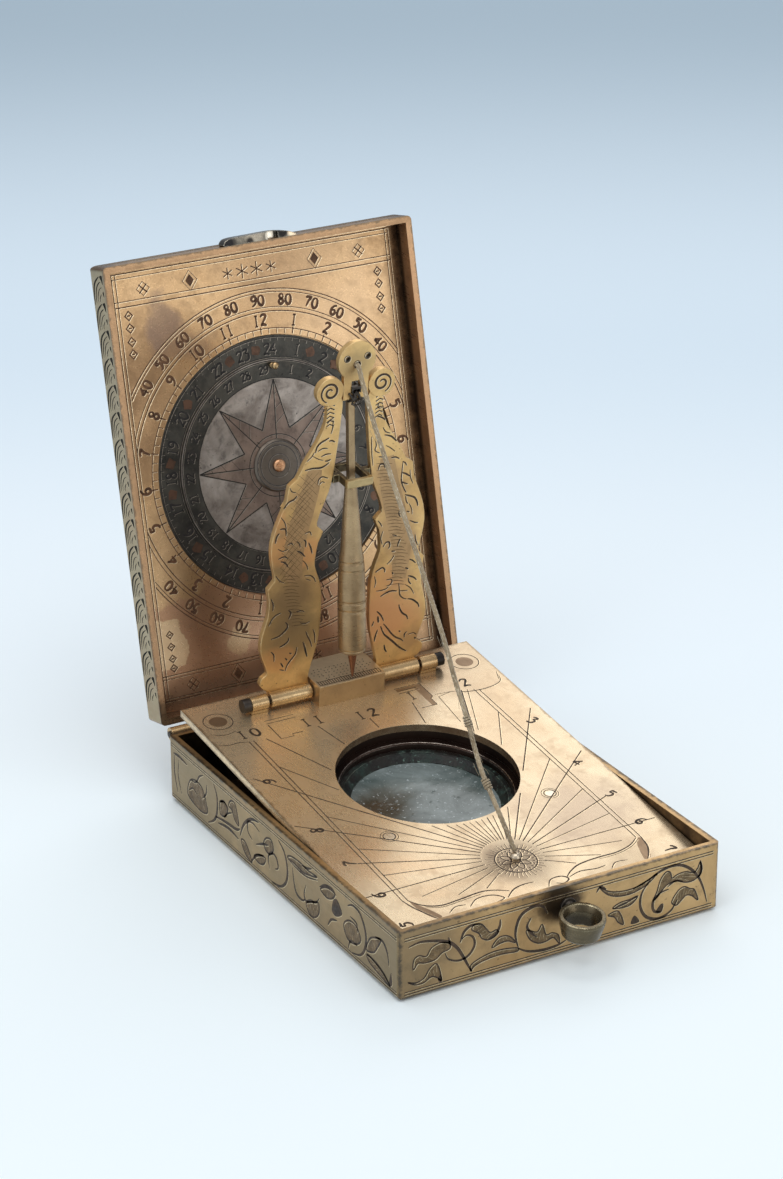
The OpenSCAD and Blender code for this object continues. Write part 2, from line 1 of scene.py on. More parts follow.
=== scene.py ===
import bpy
import bmesh
import math
import random
from mathutils import Matrix, Vector


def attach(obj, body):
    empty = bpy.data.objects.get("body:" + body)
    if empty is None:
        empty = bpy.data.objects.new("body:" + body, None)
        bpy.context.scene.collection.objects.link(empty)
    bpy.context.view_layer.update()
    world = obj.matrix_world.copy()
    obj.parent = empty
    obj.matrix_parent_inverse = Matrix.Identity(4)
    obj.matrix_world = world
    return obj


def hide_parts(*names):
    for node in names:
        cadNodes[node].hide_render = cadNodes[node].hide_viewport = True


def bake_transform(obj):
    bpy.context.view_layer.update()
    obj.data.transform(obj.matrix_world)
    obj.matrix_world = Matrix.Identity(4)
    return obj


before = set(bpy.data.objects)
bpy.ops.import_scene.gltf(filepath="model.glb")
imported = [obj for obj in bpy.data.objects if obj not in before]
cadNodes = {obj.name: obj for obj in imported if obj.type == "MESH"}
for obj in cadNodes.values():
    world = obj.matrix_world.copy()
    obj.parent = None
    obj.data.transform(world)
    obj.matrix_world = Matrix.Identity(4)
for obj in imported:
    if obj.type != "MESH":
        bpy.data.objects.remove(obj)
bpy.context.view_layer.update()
scene = bpy.context.scene
mm = 0.001
print("frame loaded:", len(cadNodes), "nodes")

# Camera, at the place the photograph was taken from
cameraSetup = {
    "place": (-0.26872, -0.45813, 0.28375),
    "azimuth": -29.562,
    "elevation": 23.601,
    "roll": -0.194,
    "lens": 101.6,
}


def makeCamera(setup):
    data = bpy.data.cameras.new("camera")
    data.lens = setup["lens"]
    data.sensor_width = 36
    data.clip_start = 0.01
    data.clip_end = 50
    camera = bpy.data.objects.new("camera", data)
    scene.collection.objects.link(camera)
    turn = math.radians(setup["azimuth"])
    tilt = math.radians(setup["elevation"])
    back = Vector((math.sin(turn) * math.cos(tilt), -math.cos(turn) * math.cos(tilt), math.sin(tilt)))
    aim = (-back).to_track_quat("-Z", "Y").to_matrix().to_4x4()
    roll = Matrix.Rotation(math.radians(setup["roll"]), 4, "Z")
    camera.matrix_world = Matrix.Translation(setup["place"]) @ aim @ roll
    scene.camera = camera


makeCamera(cameraSetup)

# The moving frames in which the pieces are drawn, in millimetres
frameSetup = {
    "lidHinge": (0, 44.45, 12.33),
    "lidLean": 12.5,
    "lidOffset": (0, 1.55, -6.67),
    "plateHinge": (0, -40.6, 9.4),
    "plateTilt": 6.2,
    "pinPlace": (0, 75.3, 2.5),
}


def shift(x, y, z):
    return Matrix.Translation((x, y, z))


def turnX(degrees):
    return Matrix.Rotation(math.radians(degrees), 4, "X")


def turnZ(degrees):
    return Matrix.Rotation(math.radians(degrees), 4, "Z")


worldMm = Matrix.Scale(mm, 4)
lidMm = (worldMm @ shift(*frameSetup["lidHinge"]) @ turnX(90 - frameSetup["lidLean"])
         @ shift(*frameSetup["lidOffset"]))
plateMm = worldMm @ shift(*frameSetup["plateHinge"]) @ turnX(frameSetup["plateTilt"])
supportMm = plateMm @ shift(*frameSetup["pinPlace"])
supportLocal = Matrix.Scale(1000, 4) @ supportMm    # from the support's millimetres to the world's


def facing(right, up):
    # a basis whose first two axes lie in the surface and whose third stands out of it
    out = Vector(right).cross(Vector(up))
    return Matrix((right, up, out)).transposed().to_4x4()


caseSize = {"width": 64, "length": 85.8}
halfWidth = caseSize["width"] / 2
halfLength = caseSize["length"] / 2
lidCentre = halfLength + 0.3
windowY = 43.6
surfaces = {
    "plateTop": plateMm @ shift(0, 0, 0.7),
    "dial": lidMm @ shift(0, 0, 2),
    "hourDisc": lidMm @ shift(0, lidCentre, 1.6),
    "starDisc": lidMm @ shift(0, lidCentre, 2) @ turnZ(-4),
    "boss": lidMm @ shift(0, lidCentre, 2.5),
    "caseFront": worldMm @ shift(0, -halfLength, 0) @ facing((1, 0, 0), (0, 0, 1)),
    "caseLeft": worldMm @ shift(-halfWidth, 0, 0) @ facing((0, -1, 0), (0, 0, 1)),
    "caseRight": worldMm @ shift(halfWidth, 0, 0) @ facing((0, 1, 0), (0, 0, 1)),
    "caseBack": worldMm @ shift(0, halfLength, 0) @ facing((-1, 0, 0), (0, 0, 1)),
    "caseUnder": worldMm @ facing((-1, 0, 0), (0, 1, 0)),
    "lidLeft": lidMm @ shift(-halfWidth, halfLength, 0) @ facing((0, -1, 0), (0, 0, 1)),
    "lidRight": lidMm @ shift(halfWidth, halfLength, 0) @ facing((0, 1, 0), (0, 0, 1)),
    "lidTop": lidMm @ shift(0, caseSize["length"], 0) @ facing((-1, 0, 0), (0, 0, 1)),
    "lidBack": lidMm @ shift(0, halfLength, 0) @ facing((-1, 0, 0), (0, 1, 0)),
    "supportFront": supportMm @ shift(0, 0.65, 0) @ facing((1, 0, 0), (0, 0, 1)),
    "supportBack": supportMm @ shift(0, 1.75, 0) @ facing((-1, 0, 0), (0, 0, 1)),
    "blockTop": supportMm @ shift(0, 0, 2.35),
    "bowlFloor": plateMm @ shift(0, windowY, -7.25),
}
print("frames and surfaces set")


# Materials: colours are written as they look on a screen, 0 to 255
def tone(red, green, blue):
    def channel(value):
        value = value / 255
        return value / 12.92 if value < 0.04045 else ((value + 0.055) / 1.055) ** 2.4
    return (channel(red), channel(green), channel(blue), 1)


def plugAll(tree, node, sockets):
    # each socket gets a plain value, or a link from another node
    for key, value in sockets.items():
        if isinstance(value, bpy.types.NodeSocket):
            tree.links.new(value, node.inputs[key])
        else:
            node.inputs[key].default_value = value
    return node


def addNode(tree, kind, sockets=None, operation=None):
    node = tree.nodes.new(kind)
    if operation:
        node.operation = operation
    return plugAll(tree, node, sockets or {})


def newMaterial(name):
    material = bpy.data.materials.new(name)
    material.use_nodes = True
    tree = material.node_tree
    point = tree.nodes.new("ShaderNodeTexCoord").outputs["Object"]
    return material, tree, tree.nodes["Principled BSDF"], point


def noiseField(tree, vector, scale, detail=4, roughness=0.6, distortion=0):
    return addNode(tree, "ShaderNodeTexNoise", {
        "Vector": vector, "Scale": scale, "Detail": detail, "Roughness": roughness,
        "Distortion": distortion}).outputs["Fac"]


def remap(tree, value, low, high, start=0, end=1):
    return addNode(tree, "ShaderNodeMapRange", {
        "Value": value, "From Min": low, "From Max": high, "To Min": start,
        "To Max": end}).outputs["Result"]


def patches(tree, point, scale, detail, roughness, low, high, start=0, end=1, distortion=0):
    # noise, with its values from low to high stretched to run from start to end
    return remap(tree, noiseField(tree, point, scale, detail, roughness, distortion), low, high, start, end)


def calculate(tree, operation, first, second=0):
    return addNode(tree, "ShaderNodeMath", {0: first, 1: second}, operation).outputs[0]


def mixColours(tree, share, first, second):
    node = tree.nodes.new("ShaderNodeMix")
    node.data_type = "RGBA"
    colours = [tone(*c) if isinstance(c, tuple) else c for c in (first, second)]
    plugAll(tree, node, {"Factor": share, 6: colours[0], 7: colours[1]})    # 6 and 7 take colours
    return node.outputs[2]


def addBump(tree, shader, height, strength, distance, normal=None):
    bump = addNode(tree, "ShaderNodeBump", {"Height": height, "Strength": strength, "Distance": distance})
    if normal:
        tree.links.new(normal, bump.inputs["Normal"])
    tree.links.new(bump.outputs["Normal"], shader.inputs["Normal"])


def edgeShare(tree, radius):
    # how much a rounded edge turns the surface: 0 on the flat, 1 along an edge
    bevel = addNode(tree, "ShaderNodeBevel", {"Radius": radius})
    bevel.samples = 4
    flat = tree.nodes.new("ShaderNodeNewGeometry").outputs["Normal"]
    dot = addNode(tree, "ShaderNodeVectorMath", {0: bevel.outputs["Normal"], 1: flat}, "DOT_PRODUCT")
    away = calculate(tree, "SUBTRACT", 1, dot.outputs["Value"])
    return remap(tree, away, 0, 0.12), bevel.outputs["Normal"]


def stainShare(tree, point, spot):
    # a blotch with an uneven edge round a point of the piece
    apart = addNode(tree, "ShaderNodeVectorMath", {0: point, 1: spot["centre"]}, "DISTANCE")
    uneven = patches(tree, point, 120, 5, 0.5, 0.25, 0.75, -spot["wobble"], spot["wobble"])
    distance = calculate(tree, "ADD", apart.outputs["Value"], uneven)
    outer, inner = [spot["radius"] * (1 + way * spot["soft"]) for way in (1, -1)]
    return remap(tree, distance, outer, inner, 0, spot["share"])


def localPoint(tree, point, matrix):
    # the same point as seen from a tilted part, in metres
    node = tree.nodes.new("ShaderNodeMapping")
    node.vector_type = "TEXTURE"
    plugAll(tree, node, {"Vector": point, "Location": matrix.to_translation(), "Rotation": matrix.to_euler()})
    return node.outputs["Vector"]


def boxGaps(tree, point, box):
    # how deep a point lies inside each pair of a box's sides, in metres
    parts = addNode(tree, "ShaderNodeSeparateXYZ", {0: localPoint(tree, point, box["frame"])})
    gaps = []
    for axis, (low, high) in zip("XYZ", box["sides"]):
        centred = calculate(tree, "SUBTRACT", parts.outputs[axis], (low + high) / 2 * mm)
        away = calculate(tree, "ABSOLUTE", centred)
        gaps.append(calculate(tree, "SUBTRACT", (high - low) / 2 * mm, away))
    return gaps


def areaShare(tree, point, box):
    gaps = boxGaps(tree, point, box)
    least = calculate(tree, "MINIMUM", calculate(tree, "MINIMUM", gaps[0], gaps[1]), gaps[2])
    inside = remap(tree, least, 0, box["soft"] * mm)
    uneven = patches(tree, point, 240, 5, 0.65, 0.3, 0.6, box["share"] * 0.6, box["share"])
    return calculate(tree, "MULTIPLY", inside, uneven)


def wornShare(tree, point, box):
    # along the outer edges of a box-shaped part, with an uneven border
    gaps = boxGaps(tree, point, box)
    least = calculate(tree, "MINIMUM", gaps[0], gaps[1])
    most = calculate(tree, "MAXIMUM", gaps[0], gaps[1])
    middle = calculate(tree, "MAXIMUM", least, calculate(tree, "MINIMUM", most, gaps[2]))
    inPart = localPoint(tree, point, box["frame"])
    ragged = patches(tree, inPart, 700, 5, 0.7, 0.3, 0.7, -0.35 * mm, 0.35 * mm)
    border = calculate(tree, "ADD", middle, ragged)
    return remap(tree, border, box["width"] * mm, box["width"] * 0.35 * mm, 0, box["share"])


def metalMaterial(name, look):
    material, tree, shader, point = newMaterial(name)
    broad = patches(tree, point, look["broad"], 5, 0.62, 0.36, 0.66, distortion=0.6)
    colour = mixColours(tree, broad, look["dark"], look["light"])
    cloudy = patches(tree, point, look["cloud"], 6, 0.7, 0.5, 0.75, 0, look["cloudShare"], 0.3)
    colour = mixColours(tree, cloudy, colour, look["tarnish"])
    specks = patches(tree, point, look["speck"], 3, 0.6, 0.66, 0.76, 0, look["speckShare"])
    colour = mixColours(tree, specks, colour, look["spot"])
    # blotches: real stains, and painted light and shade
    for spot in look["stains"]:
        colour = mixColours(tree, stainShare(tree, point, spot), colour, spot["colour"])
    for box in look["areas"]:
        colour = mixColours(tree, areaShare(tree, point, box), colour, box["colour"])
    for box in look["worn"]:
        colour = mixColours(tree, wornShare(tree, point, box), colour, box["colour"])
    normal = None
    if look["edge"]:
        edgeColour, share, radius = look["edge"]
        edge, normal = edgeShare(tree, radius * mm)
        edge = calculate(tree, "MULTIPLY", edge, patches(tree, point, 900, 4, 0.7, 0.35, 0.6, 0, share))
        colour = mixColours(tree, edge, colour, edgeColour)
    streaks = addNode(tree, "ShaderNodeMapping", {
        "Vector": point, "Scale": look["grain"], "Rotation": (0, 0, math.radians(look["grainTurn"]))})
    grain = noiseField(tree, streaks.outputs["Vector"], 1, 3, 0.6)
    dull = calculate(tree, "ADD", remap(tree, grain, 0.3, 0.7, -look["streak"], look["streak"]),
                     remap(tree, cloudy, 0, 0.6, look["rough"], look["rough"] + 0.14))
    plugAll(tree, shader, {"Base Color": colour, "Metallic": look["metallic"], "Roughness": dull})
    dents = noiseField(tree, point, 420, 4, 0.6)
    height = calculate(tree, "ADD", calculate(tree, "MULTIPLY", grain, 0.35), dents)
    addBump(tree, shader, height, look["bump"], 0.00012, normal)
    return material


usualMetal = {
    "broad": 55, "cloud": 260, "cloudShare": 0.5, "speck": 1500, "speckShare": 0.6, "metallic": 0.82,
    "grain": (3000, 200, 3000), "grainTurn": 25, "streak": 0.05, "edge": None, "areas": (), "stains": (),
    "worn": (),
}


def metalLook(light, dark, tarnish, spot, rough, bump, **more):
    # four colours, a roughness and a depth of dents, and what differs from the usual metal
    look = {"light": light, "dark": dark, "tarnish": tarnish, "spot": spot, "rough": rough, "bump": bump}
    return {**usualMetal, **look, **more}


def stain(centre, radius, colour, share=0.8, soft=0.5, wobble=4):
    # a blotch on a piece, used both for real stains and for painted light and shade: centre in metres, radius
    # and the waver of its border in millimetres
    return {"centre": centre, "radius": radius * mm, "colour": colour, "share": share, "soft": soft,
            "wobble": wobble * mm}


def area(part, x, y, z, colour, share=0.95, soft=0.05, width=0):
    # a box in a part's own millimetres, tinted inside or, with a width, along its edges
    return {"frame": part, "sides": (x, y, z), "colour": colour, "share": share, "soft": soft, "width": width}


def lidPoint(x, t, depth=2):
    return lidMm @ Vector((x, t, depth))


def platePoint(x, y):
    return plateMm @ Vector((x, y, 0.7))


def supportPoint(x, height, depth=0.65):
    return supportMm @ Vector((x, depth, height))


dulled = (186, 150, 108)
olive = (160, 131, 95)
copper = (226, 168, 112)
rosy = (220, 166, 120)
dolphinSpots = [
    (-8.6, 44, 2.4, dulled, 0.8), (-10, 40, 3.4, dulled, 0.85), (-11.2, 34.5, 3.6, dulled, 0.85),
    (-11.8, 27, 3, olive, 0.8), (-11.3, 20, 5.4, olive, 0.9), (-10.5, 12, 5.4, olive, 0.75),
    (-14.2, 37, 2, copper, 0.6), (-8, 29, 2.2, copper, 0.75), (-14.4, 30.5, 1.8, copper, 0.6),
    (-13.5, 7.5, 2.2, copper, 0.5), (6.6, 42.5, 2.8, dulled, 0.85), (8.4, 37, 3, dulled, 0.85),
    (9.8, 31, 3, dulled, 0.85), (11, 25, 3, dulled, 0.9), (10.6, 19.5, 2.6, dulled, 0.8),
    (9, 12, 6, rosy, 0.85), (7, 20, 3, copper, 0.5), (6.9, 23.6, 1.5, copper, 0.8),
    (14, 5.5, 2.4, dulled, 0.7), (0, 65.5, 3.8, (176, 148, 104), 0.9)]
# near-black blotches inside the three sight holes: painted shade
headHoles = [(-2.05, 66.35, 0.72), (2.05, 66.35, 0.72), (0, 65, 0.78)]
# on the catch: the light spots are painted highlights, the dark ones painted shade in its folds
catchLightAndShadeSpots = [
    (-7, 86.4, 1.9, (34, 33, 34)), (-1, 87.2, 2, (150, 142, 128)), (2.4, 86.4, 1.3, (252, 244, 226)),
    (4.7, 86.8, 1.3, (34, 32, 31)), (7, 86.3, 1.2, (232, 212, 182)), (-2, 86, 0.9, (48, 45, 42))]
caseFrame = Matrix.Identity(4)
lidFrame, plateFrame, supportFrame = [m @ Matrix.Scale(1000, 4) for m in (lidMm, plateMm, supportMm)]
brassLooks = {
    "plateBrass": metalLook(
        (216, 198, 168), (200, 176, 144), (180, 152, 120), (122, 100, 74), 0.27, 0.03, speckShare=0.15,
        streak=0.02,
        worn=[area(plateFrame, (-30.55, 30.55), (1.2, 81.6), (-0.7, 0.7), (120, 102, 80), 0.6, width=0.5)],
        # painted shade: darker brown on the round window's wall, below the top face
        areas=[area(plateFrame, (-17.3, 17.3), (26.3, 60.9), (-2, 0.66), (132, 100, 74), 0.95)],
        stains=[
            # painted light: a lighter patch over the left of the plate
            stain(platePoint(-22, 56), 23, (236, 210, 170), 0.75),
            stain(platePoint(22, 76), 10, (170, 150, 124), 0.5),
            stain(platePoint(-0.3, 12.8), 6.2, (118, 102, 84), 0.85, 0.4, 1.2),
            stain(platePoint(18, 4), 6, (160, 138, 110), 0.5),
            stain(platePoint(18.5, 22), 9, (180, 160, 138), 0.8, wobble=6),
            stain(platePoint(-24, 22), 8, (214, 176, 136), 0.5, wobble=6)]),
    "lidBrass": metalLook(
        (204, 170, 128), (184, 149, 108), (154, 120, 87), (92, 74, 58), 0.3, 0.14, cloudShare=0.6,
        worn=[area(lidFrame, (-32, 32), (0, 85.8), (0, 5.8), (112, 98, 80), 0.75, width=0.35)],
        areas=[
            # painted shade: very dark on the floor by the right wall and low on that wall
            area(lidFrame, (26.6, 60), (-20, 110), (-20, 40), (54, 41, 32), 0.95, 3.2),
            # painted shade on the inner walls, above the dial
            area(lidFrame, (-31.2, 60), (0.7, 85.1), (2.1, 40), (96, 74, 55), 0.9),
            # painted light on the right inner wall, above its foot
            area(lidFrame, (30, 60), (0.7, 85.1), (2.6, 40), (222, 172, 130), 0.95, 1),
            # painted shade along the foot of the left wall, and on the next line along the top wall
            area(lidFrame, (-60, -28.2), (-20, 110), (-20, 40), (112, 86, 62), 0.75, 2.6),
            area(lidFrame, (-60, 60), (82.6, 110), (-20, 40), (110, 84, 60), 0.5, 2.2),
            area(lidFrame, (-60, 60), (-20, 110), (5.74, 40), (174, 140, 106), 0.9),
            # the outer sides' duller grey tone: painted reflection of the pale floor
            area(lidFrame, (-60, -31.9), (-20, 110), (-20, 5.7), (168, 154, 122), 0.85),
            area(lidFrame, (31.9, 60), (-20, 110), (-20, 5.7), (168, 154, 122), 0.85)],
        stains=[
            stain(lidPoint(-28.5, 60), 13, (134, 106, 77), 0.85, 0.6, 8),
            stain(lidPoint(17, 70), 9, (224, 190, 150), 0.6, 0.6),
            stain(lidPoint(6, 82), 11, (160, 132, 102), 0.6, 0.6),
            stain(lidPoint(-19.5, 74.5), 3, (124, 106, 96), 0.6, wobble=5),
            stain(lidPoint(-17, 69), 3.8, (138, 114, 96), 0.45, wobble=5),
            # painted shade in the inner top-left corner
            stain(lidPoint(-32, 85.8, 3), 2.4, (58, 54, 50), 0.9, wobble=1.5),
            # a red-brown lower region: partly a stain, partly a painted reflection
            stain(lidPoint(-10, -2), 29, (176, 138, 108), 0.95, 0.035, 6),
            stain(lidPoint(24, 4), 12, (190, 150, 114), 0.6),
            stain(lidPoint(-6, -8), 19, (214, 176, 146), 0.8, 0.4),
            stain(lidPoint(-25.5, 13), 3.6, (212, 184, 146), 0.9, 0.06, 5),
            stain(lidPoint(-13, 12), 2.2, (206, 176, 138), 0.9, 0.06, 3),
            # painted shade in the inner top-right corner
            stain(lidPoint(32, 85.8, 5), 1.8, (62, 56, 50), 0.85, wobble=1.5),
            stain(lidPoint(32, 64, 5.8), 5, (146, 118, 92), 0.6, wobble=6)]),
    "caseBrass": metalLook(
        (198, 164, 116), (166, 133, 90), (132, 111, 80), (62, 54, 44), 0.34, 0.16, cloudShare=0.6,
        speckShare=0.7,
        worn=[area(caseFrame, (-32, 32), (-42.9, 42.9), (0, 13.5), (70, 66, 60), 0.85, width=0.7)],
        areas=[
            # the left side's duller grey tone: painted reflection of the pale floor
            area(caseFrame, (-33, -31.9), (-50, 50), (-1, 13.1), (138, 122, 92), 0.75),
            # painted shade inside the tray
            area(caseFrame, (-31, 31), (-42, 42), (0.8, 13.1), (64, 49, 37), 0.95)],
        stains=[
            stain(Vector((-0.032, -0.043, 0.006)), 13, (106, 95, 77), 0.6),
            stain(Vector((-0.032, 0.034, 0.006)), 12, (136, 122, 92), 0.6),
            stain(Vector((0, -0.043, 0.0098)), 3.2, (56, 46, 36), 0.9),
            stain(Vector((-0.008, -0.043, 0.0115)), 2.2, (84, 68, 52), 0.5)]),
    "hingeBrass": metalLook(
        (214, 184, 138), (182, 150, 108), (124, 102, 72), (60, 48, 36), 0.26, 0.12,
        edge=((60, 50, 40), 0.7, 0.3)),
    "blockBrass": metalLook(
        (184, 156, 118), (160, 132, 98), (132, 110, 84), (74, 62, 50), 0.32, 0.2,
        edge=((224, 200, 156), 0.8, 0.3),
        # painted light: the block's top lighter than its front
        areas=[area(supportFrame, (-9, 9), (-3.45, 9), (2.2, 4), (222, 202, 170), 0.9)]),
    "dolphinBrass": metalLook(
        (232, 194, 132), (204, 164, 108), (160, 126, 84), (84, 64, 42), 0.34, 0.2, cloud=240,
        speckShare=0.8, edge=((236, 212, 162), 0.8, 0.3),
        stains=[stain(supportPoint(x, h), r, colour, share, 0.4, 3)
                for x, h, r, colour, share in dolphinSpots]
        # painted shade inside the sight holes
        + [stain(supportPoint(x, h, 1.1), r, (30, 25, 22), 1, 0.06, 0.03) for x, h, r in headHoles]),
    "bodyBrass": metalLook(
        (196, 160, 116), (164, 133, 96), (132, 107, 78), (74, 58, 42), 0.36, 0.2, cloud=400, cloudShare=0.6),
    "guardBrass": metalLook(
        (206, 184, 136), (176, 152, 108), (128, 106, 76), (84, 66, 42), 0.32, 0.14,
        edge=((230, 210, 160), 0.7, 0.3),
        # darker over the guard behind its front bar: partly patina, partly painted shade
        areas=[area(supportFrame, (-6, 6), (-1.7, 8), (40, 46), (44, 38, 32), 0.95)]),
    "bobBrass": metalLook(
        (178, 152, 116), (148, 124, 92), (120, 98, 72), (80, 64, 46), 0.3, 0.1, grain=(200, 200, 5000),
        grainTurn=0, edge=((214, 194, 150), 0.4, 0.3)),
    "ringBrass": metalLook(
        (118, 106, 83), (80, 72, 56), (56, 50, 41), (40, 36, 30), 0.28, 0.2,
        edge=((224, 212, 176), 0.9, 0.4),
        stains=[stain(Vector((0.0008, -0.0474, 0.0066)), 3.2, (48, 42, 34), 0.85, 0.08, 0.2)]),
    "catchSteel": metalLook(
        (132, 126, 114), (84, 80, 72), (60, 56, 52), (30, 28, 27), 0.26, 0.2, broad=400,
        # the bright edge colour is a painted highlight
        edge=((214, 206, 188), 0.9, 0.3),
        stains=[stain(lidPoint(x, t, 5.6), r, colour, 1, 0.25, 0.5) for x, t, r, colour in catchLightAndShadeSpots]),
    # very dark: partly patina, partly painted shade under the plate; the brighter edge colour is a painted
    # highlight
    "bowlBrass": metalLook(
        (70, 53, 44), (40, 30, 26), (28, 23, 22), (20, 18, 17), 0.4, 0.16, edge=((120, 96, 78), 0.6, 0.3)),
    "darkIron": metalLook(
        (80, 74, 68), (44, 40, 38), (58, 44, 36), (26, 24, 24), 0.38, 0.4, edge=((130, 122, 112), 0.6, 0.3)),
    "tipBrown": metalLook(
        (150, 104, 78), (104, 68, 50), (74, 50, 40), (50, 36, 30), 0.3, 0.2,
        edge=((214, 170, 136), 0.6, 0.3)),
    # the bright edge colour is a painted highlight
    "bezelDark": metalLook(
        (74, 56, 48), (38, 29, 26), (26, 22, 21), (20, 18, 18), 0.3, 0.12, edge=((206, 196, 184), 1.0, 0.2)),
    "footSilver": metalLook(
        (232, 218, 196), (204, 186, 160), (160, 142, 116), (110, 94, 74), 0.22, 0.1,
        edge=((246, 238, 222), 0.6, 0.3)),
    "copperRivet": metalLook(
        (222, 172, 130), (186, 128, 92), (130, 86, 62), (80, 54, 42), 0.28, 0.2,
        edge=((240, 204, 170), 0.6, 0.3)),
    "discSilver": metalLook(
        (166, 158, 150), (106, 97, 90), (72, 66, 62), (42, 38, 36), 0.34, 0.25, broad=130, cloud=420,
        cloudShare=0.75, speck=1000, speckShare=0.9),
    "discGrey": metalLook(
        (116, 108, 98), (94, 86, 78), (76, 68, 62), (44, 40, 38), 0.36, 0.2, cloud=300, cloudShare=0.7,
        speckShare=0.7),
    "discDark": metalLook(
        (80, 78, 72), (52, 51, 48), (100, 92, 82), (28, 27, 26), 0.38, 0.25, broad=140, cloud=520,
        cloudShare=0.55, speck=1000, speckShare=0.9),
    "rayBronze": metalLook(
        (142, 124, 112), (104, 90, 82), (80, 70, 64), (48, 42, 38), 0.36, 0.22, broad=130, cloud=400,
        cloudShare=0.7, speckShare=0.9),
    "patchBronze": metalLook(
        (112, 84, 68), (88, 66, 54), (66, 58, 52), (44, 36, 32), 0.4, 0.2, cloud=500, cloudShare=0.8),
    "plateShade": metalLook(
        (158, 132, 104), (128, 104, 80), (112, 92, 70), (96, 78, 60), 0.36, 0.14),
    "cardBrass": metalLook(
        (196, 184, 150), (160, 150, 122), (120, 108, 86), (80, 70, 56), 0.45, 0.12, metallic=0.4),
    "needleSteel": metalLook(
        (92, 104, 124), (56, 66, 86), (70, 60, 54), (34, 36, 42), 0.28, 0.12),
}
finishes = {name: metalMaterial(name, look) for name, look in brassLooks.items()}


def cutMaterial(name, colour, second, rough=0.55, metallic=0.35, shine=0.5):
    # thin layers: the tarnish in engraved lines, tinted leaves and painted highlights on the lit sides of
    # cuts
    material, tree, shader, point = newMaterial(name)
    share = patches(tree, point, 700, 4, 0.7, 0.35, 0.65)
    dull = patches(tree, point, 1800, 2, 0.5, 0.3, 0.7, rough - 0.1, rough + 0.1)
    plugAll(tree, shader, {"Base Color": mixColours(tree, share, colour, second), "Metallic": metallic,
                           "Specular IOR Level": shine, "Roughness": dull})
    return material


cutLooks = {
    "cutBrown": ((70, 46, 30), (112, 78, 52)),
    "cutDark": ((40, 32, 26), (84, 64, 46)),
    "cutGrey": ((54, 50, 50), (84, 78, 76)),
    "cutBlack": ((24, 22, 22), (46, 42, 40)),
    "sideInk": ((22, 22, 22), (52, 50, 44), 0.8, 0.0, 0.15),
    "leafShade": ((92, 75, 54), (132, 109, 78), 0.45, 0.7),
    # this finish and the two after it are painted highlights beside the dark cuts
    "paintedGlint": ((222, 198, 160), (242, 222, 188), 0.3, 0.85),
    "caseGlint": ((186, 166, 128), (222, 204, 168), 0.32, 0.8),
    "discGlint": ((112, 104, 94), (150, 142, 130), 0.35, 0.7),
}
finishes.update({name: cutMaterial(name, *look) for name, look in cutLooks.items()})
print("metal finishes ready:", len(finishes))


def glassMaterial():
    material, tree, shader, point = newMaterial("cloudyGlass")
    look = {"milk": (146, 158, 158), "deep": (74, 88, 86), "bloom": (216, 226, 230)}
    milky = patches(tree, point, 90, 6, 0.65, 0.35, 0.68, distortion=0.8)
    colour = mixColours(tree, milky, look["deep"], look["milk"])
    rust = stain(plateMm @ Vector((-11, windowY + 1.5, -5.7)), 6.6, (56, 48, 36), 0.85, 0.7, 5)
    colour = mixColours(tree, stainShare(tree, point, rust), colour, rust["colour"])
    colour = mixColours(tree, patches(tree, point, 650, 5, 0.75, 0.58, 0.74, 0, 0.4), colour, look["bloom"])
    colour = mixColours(tree, patches(tree, point, 1700, 3, 0.6, 0.65, 0.71), colour, look["bloom"])
    plugAll(tree, shader, {"Base Color": colour, "Roughness": 0.16, "Transmission Weight": 0.18, "IOR": 1.5})
    cells = addNode(tree, "ShaderNodeTexVoronoi", {"Vector": point, "Scale": 420})
    pits = remap(tree, cells.outputs["Distance"], 0.0, 0.22, 1, 0)
    ripple = calculate(tree, "ADD", pits, noiseField(tree, point, 160, 3, 0.5))
    addBump(tree, shader, ripple, 0.25, 0.0002)
    return material


def verdigrisMaterial():
    material, tree, shader, point = newMaterial("verdigris")
    look = {"dark": (24, 25, 24), "green": (48, 66, 60), "bright": (118, 146, 134), "brown": (36, 30, 26),
            "rim": (150, 164, 148)}
    crust = patches(tree, point, 420, 6, 0.7, 0.45, 0.68, distortion=0.5)
    colour = mixColours(tree, crust, look["dark"], look["green"])
    colour = mixColours(tree, patches(tree, point, 1300, 4, 0.7, 0.6, 0.72), colour, look["bright"])
    colour = mixColours(tree, patches(tree, point, 170, 4, 0.6, 0.45, 0.6), colour, look["brown"])
    # painted highlight along the ring's edges, in the rim colour
    edge, normal = edgeShare(tree, 0.0002)
    colour = mixColours(tree, calculate(tree, "MULTIPLY", edge, crust), colour, look["rim"])
    plugAll(tree, shader, {"Base Color": colour, "Metallic": 0.35,
                           "Roughness": remap(tree, crust, 0, 1, 0.35, 0.75)})
    addBump(tree, shader, noiseField(tree, point, 900, 5, 0.7), 0.6, 0.0003)
    return material


def hempMaterial():
    material, tree, shader, point = newMaterial("hemp")
    look = {"dark": (108, 90, 64), "light": (172, 154, 124), "fibre": (214, 202, 176)}
    body = patches(tree, point, 180, 5, 0.7, 0.3, 0.7)
    colour = mixColours(tree, body, look["dark"], look["light"])
    drawn = addNode(tree, "ShaderNodeMapping", {"Vector": point, "Scale": (9000, 1400, 1400)})
    fibres = patches(tree, drawn.outputs["Vector"], 1, 3, 0.6, 0.52, 0.68)
    colour = mixColours(tree, fibres, colour, look["fibre"])
    plugAll(tree, shader, {"Base Color": colour, "Sheen Weight": 0.3,
                           "Roughness": remap(tree, fibres, 0, 1, 0.75, 0.9)})
    addBump(tree, shader, fibres, 0.5, 0.0001)
    return material


finishes["cloudyGlass"] = glassMaterial()
finishes["verdigris"] = verdigrisMaterial()
finishes["hemp"] = hempMaterial()

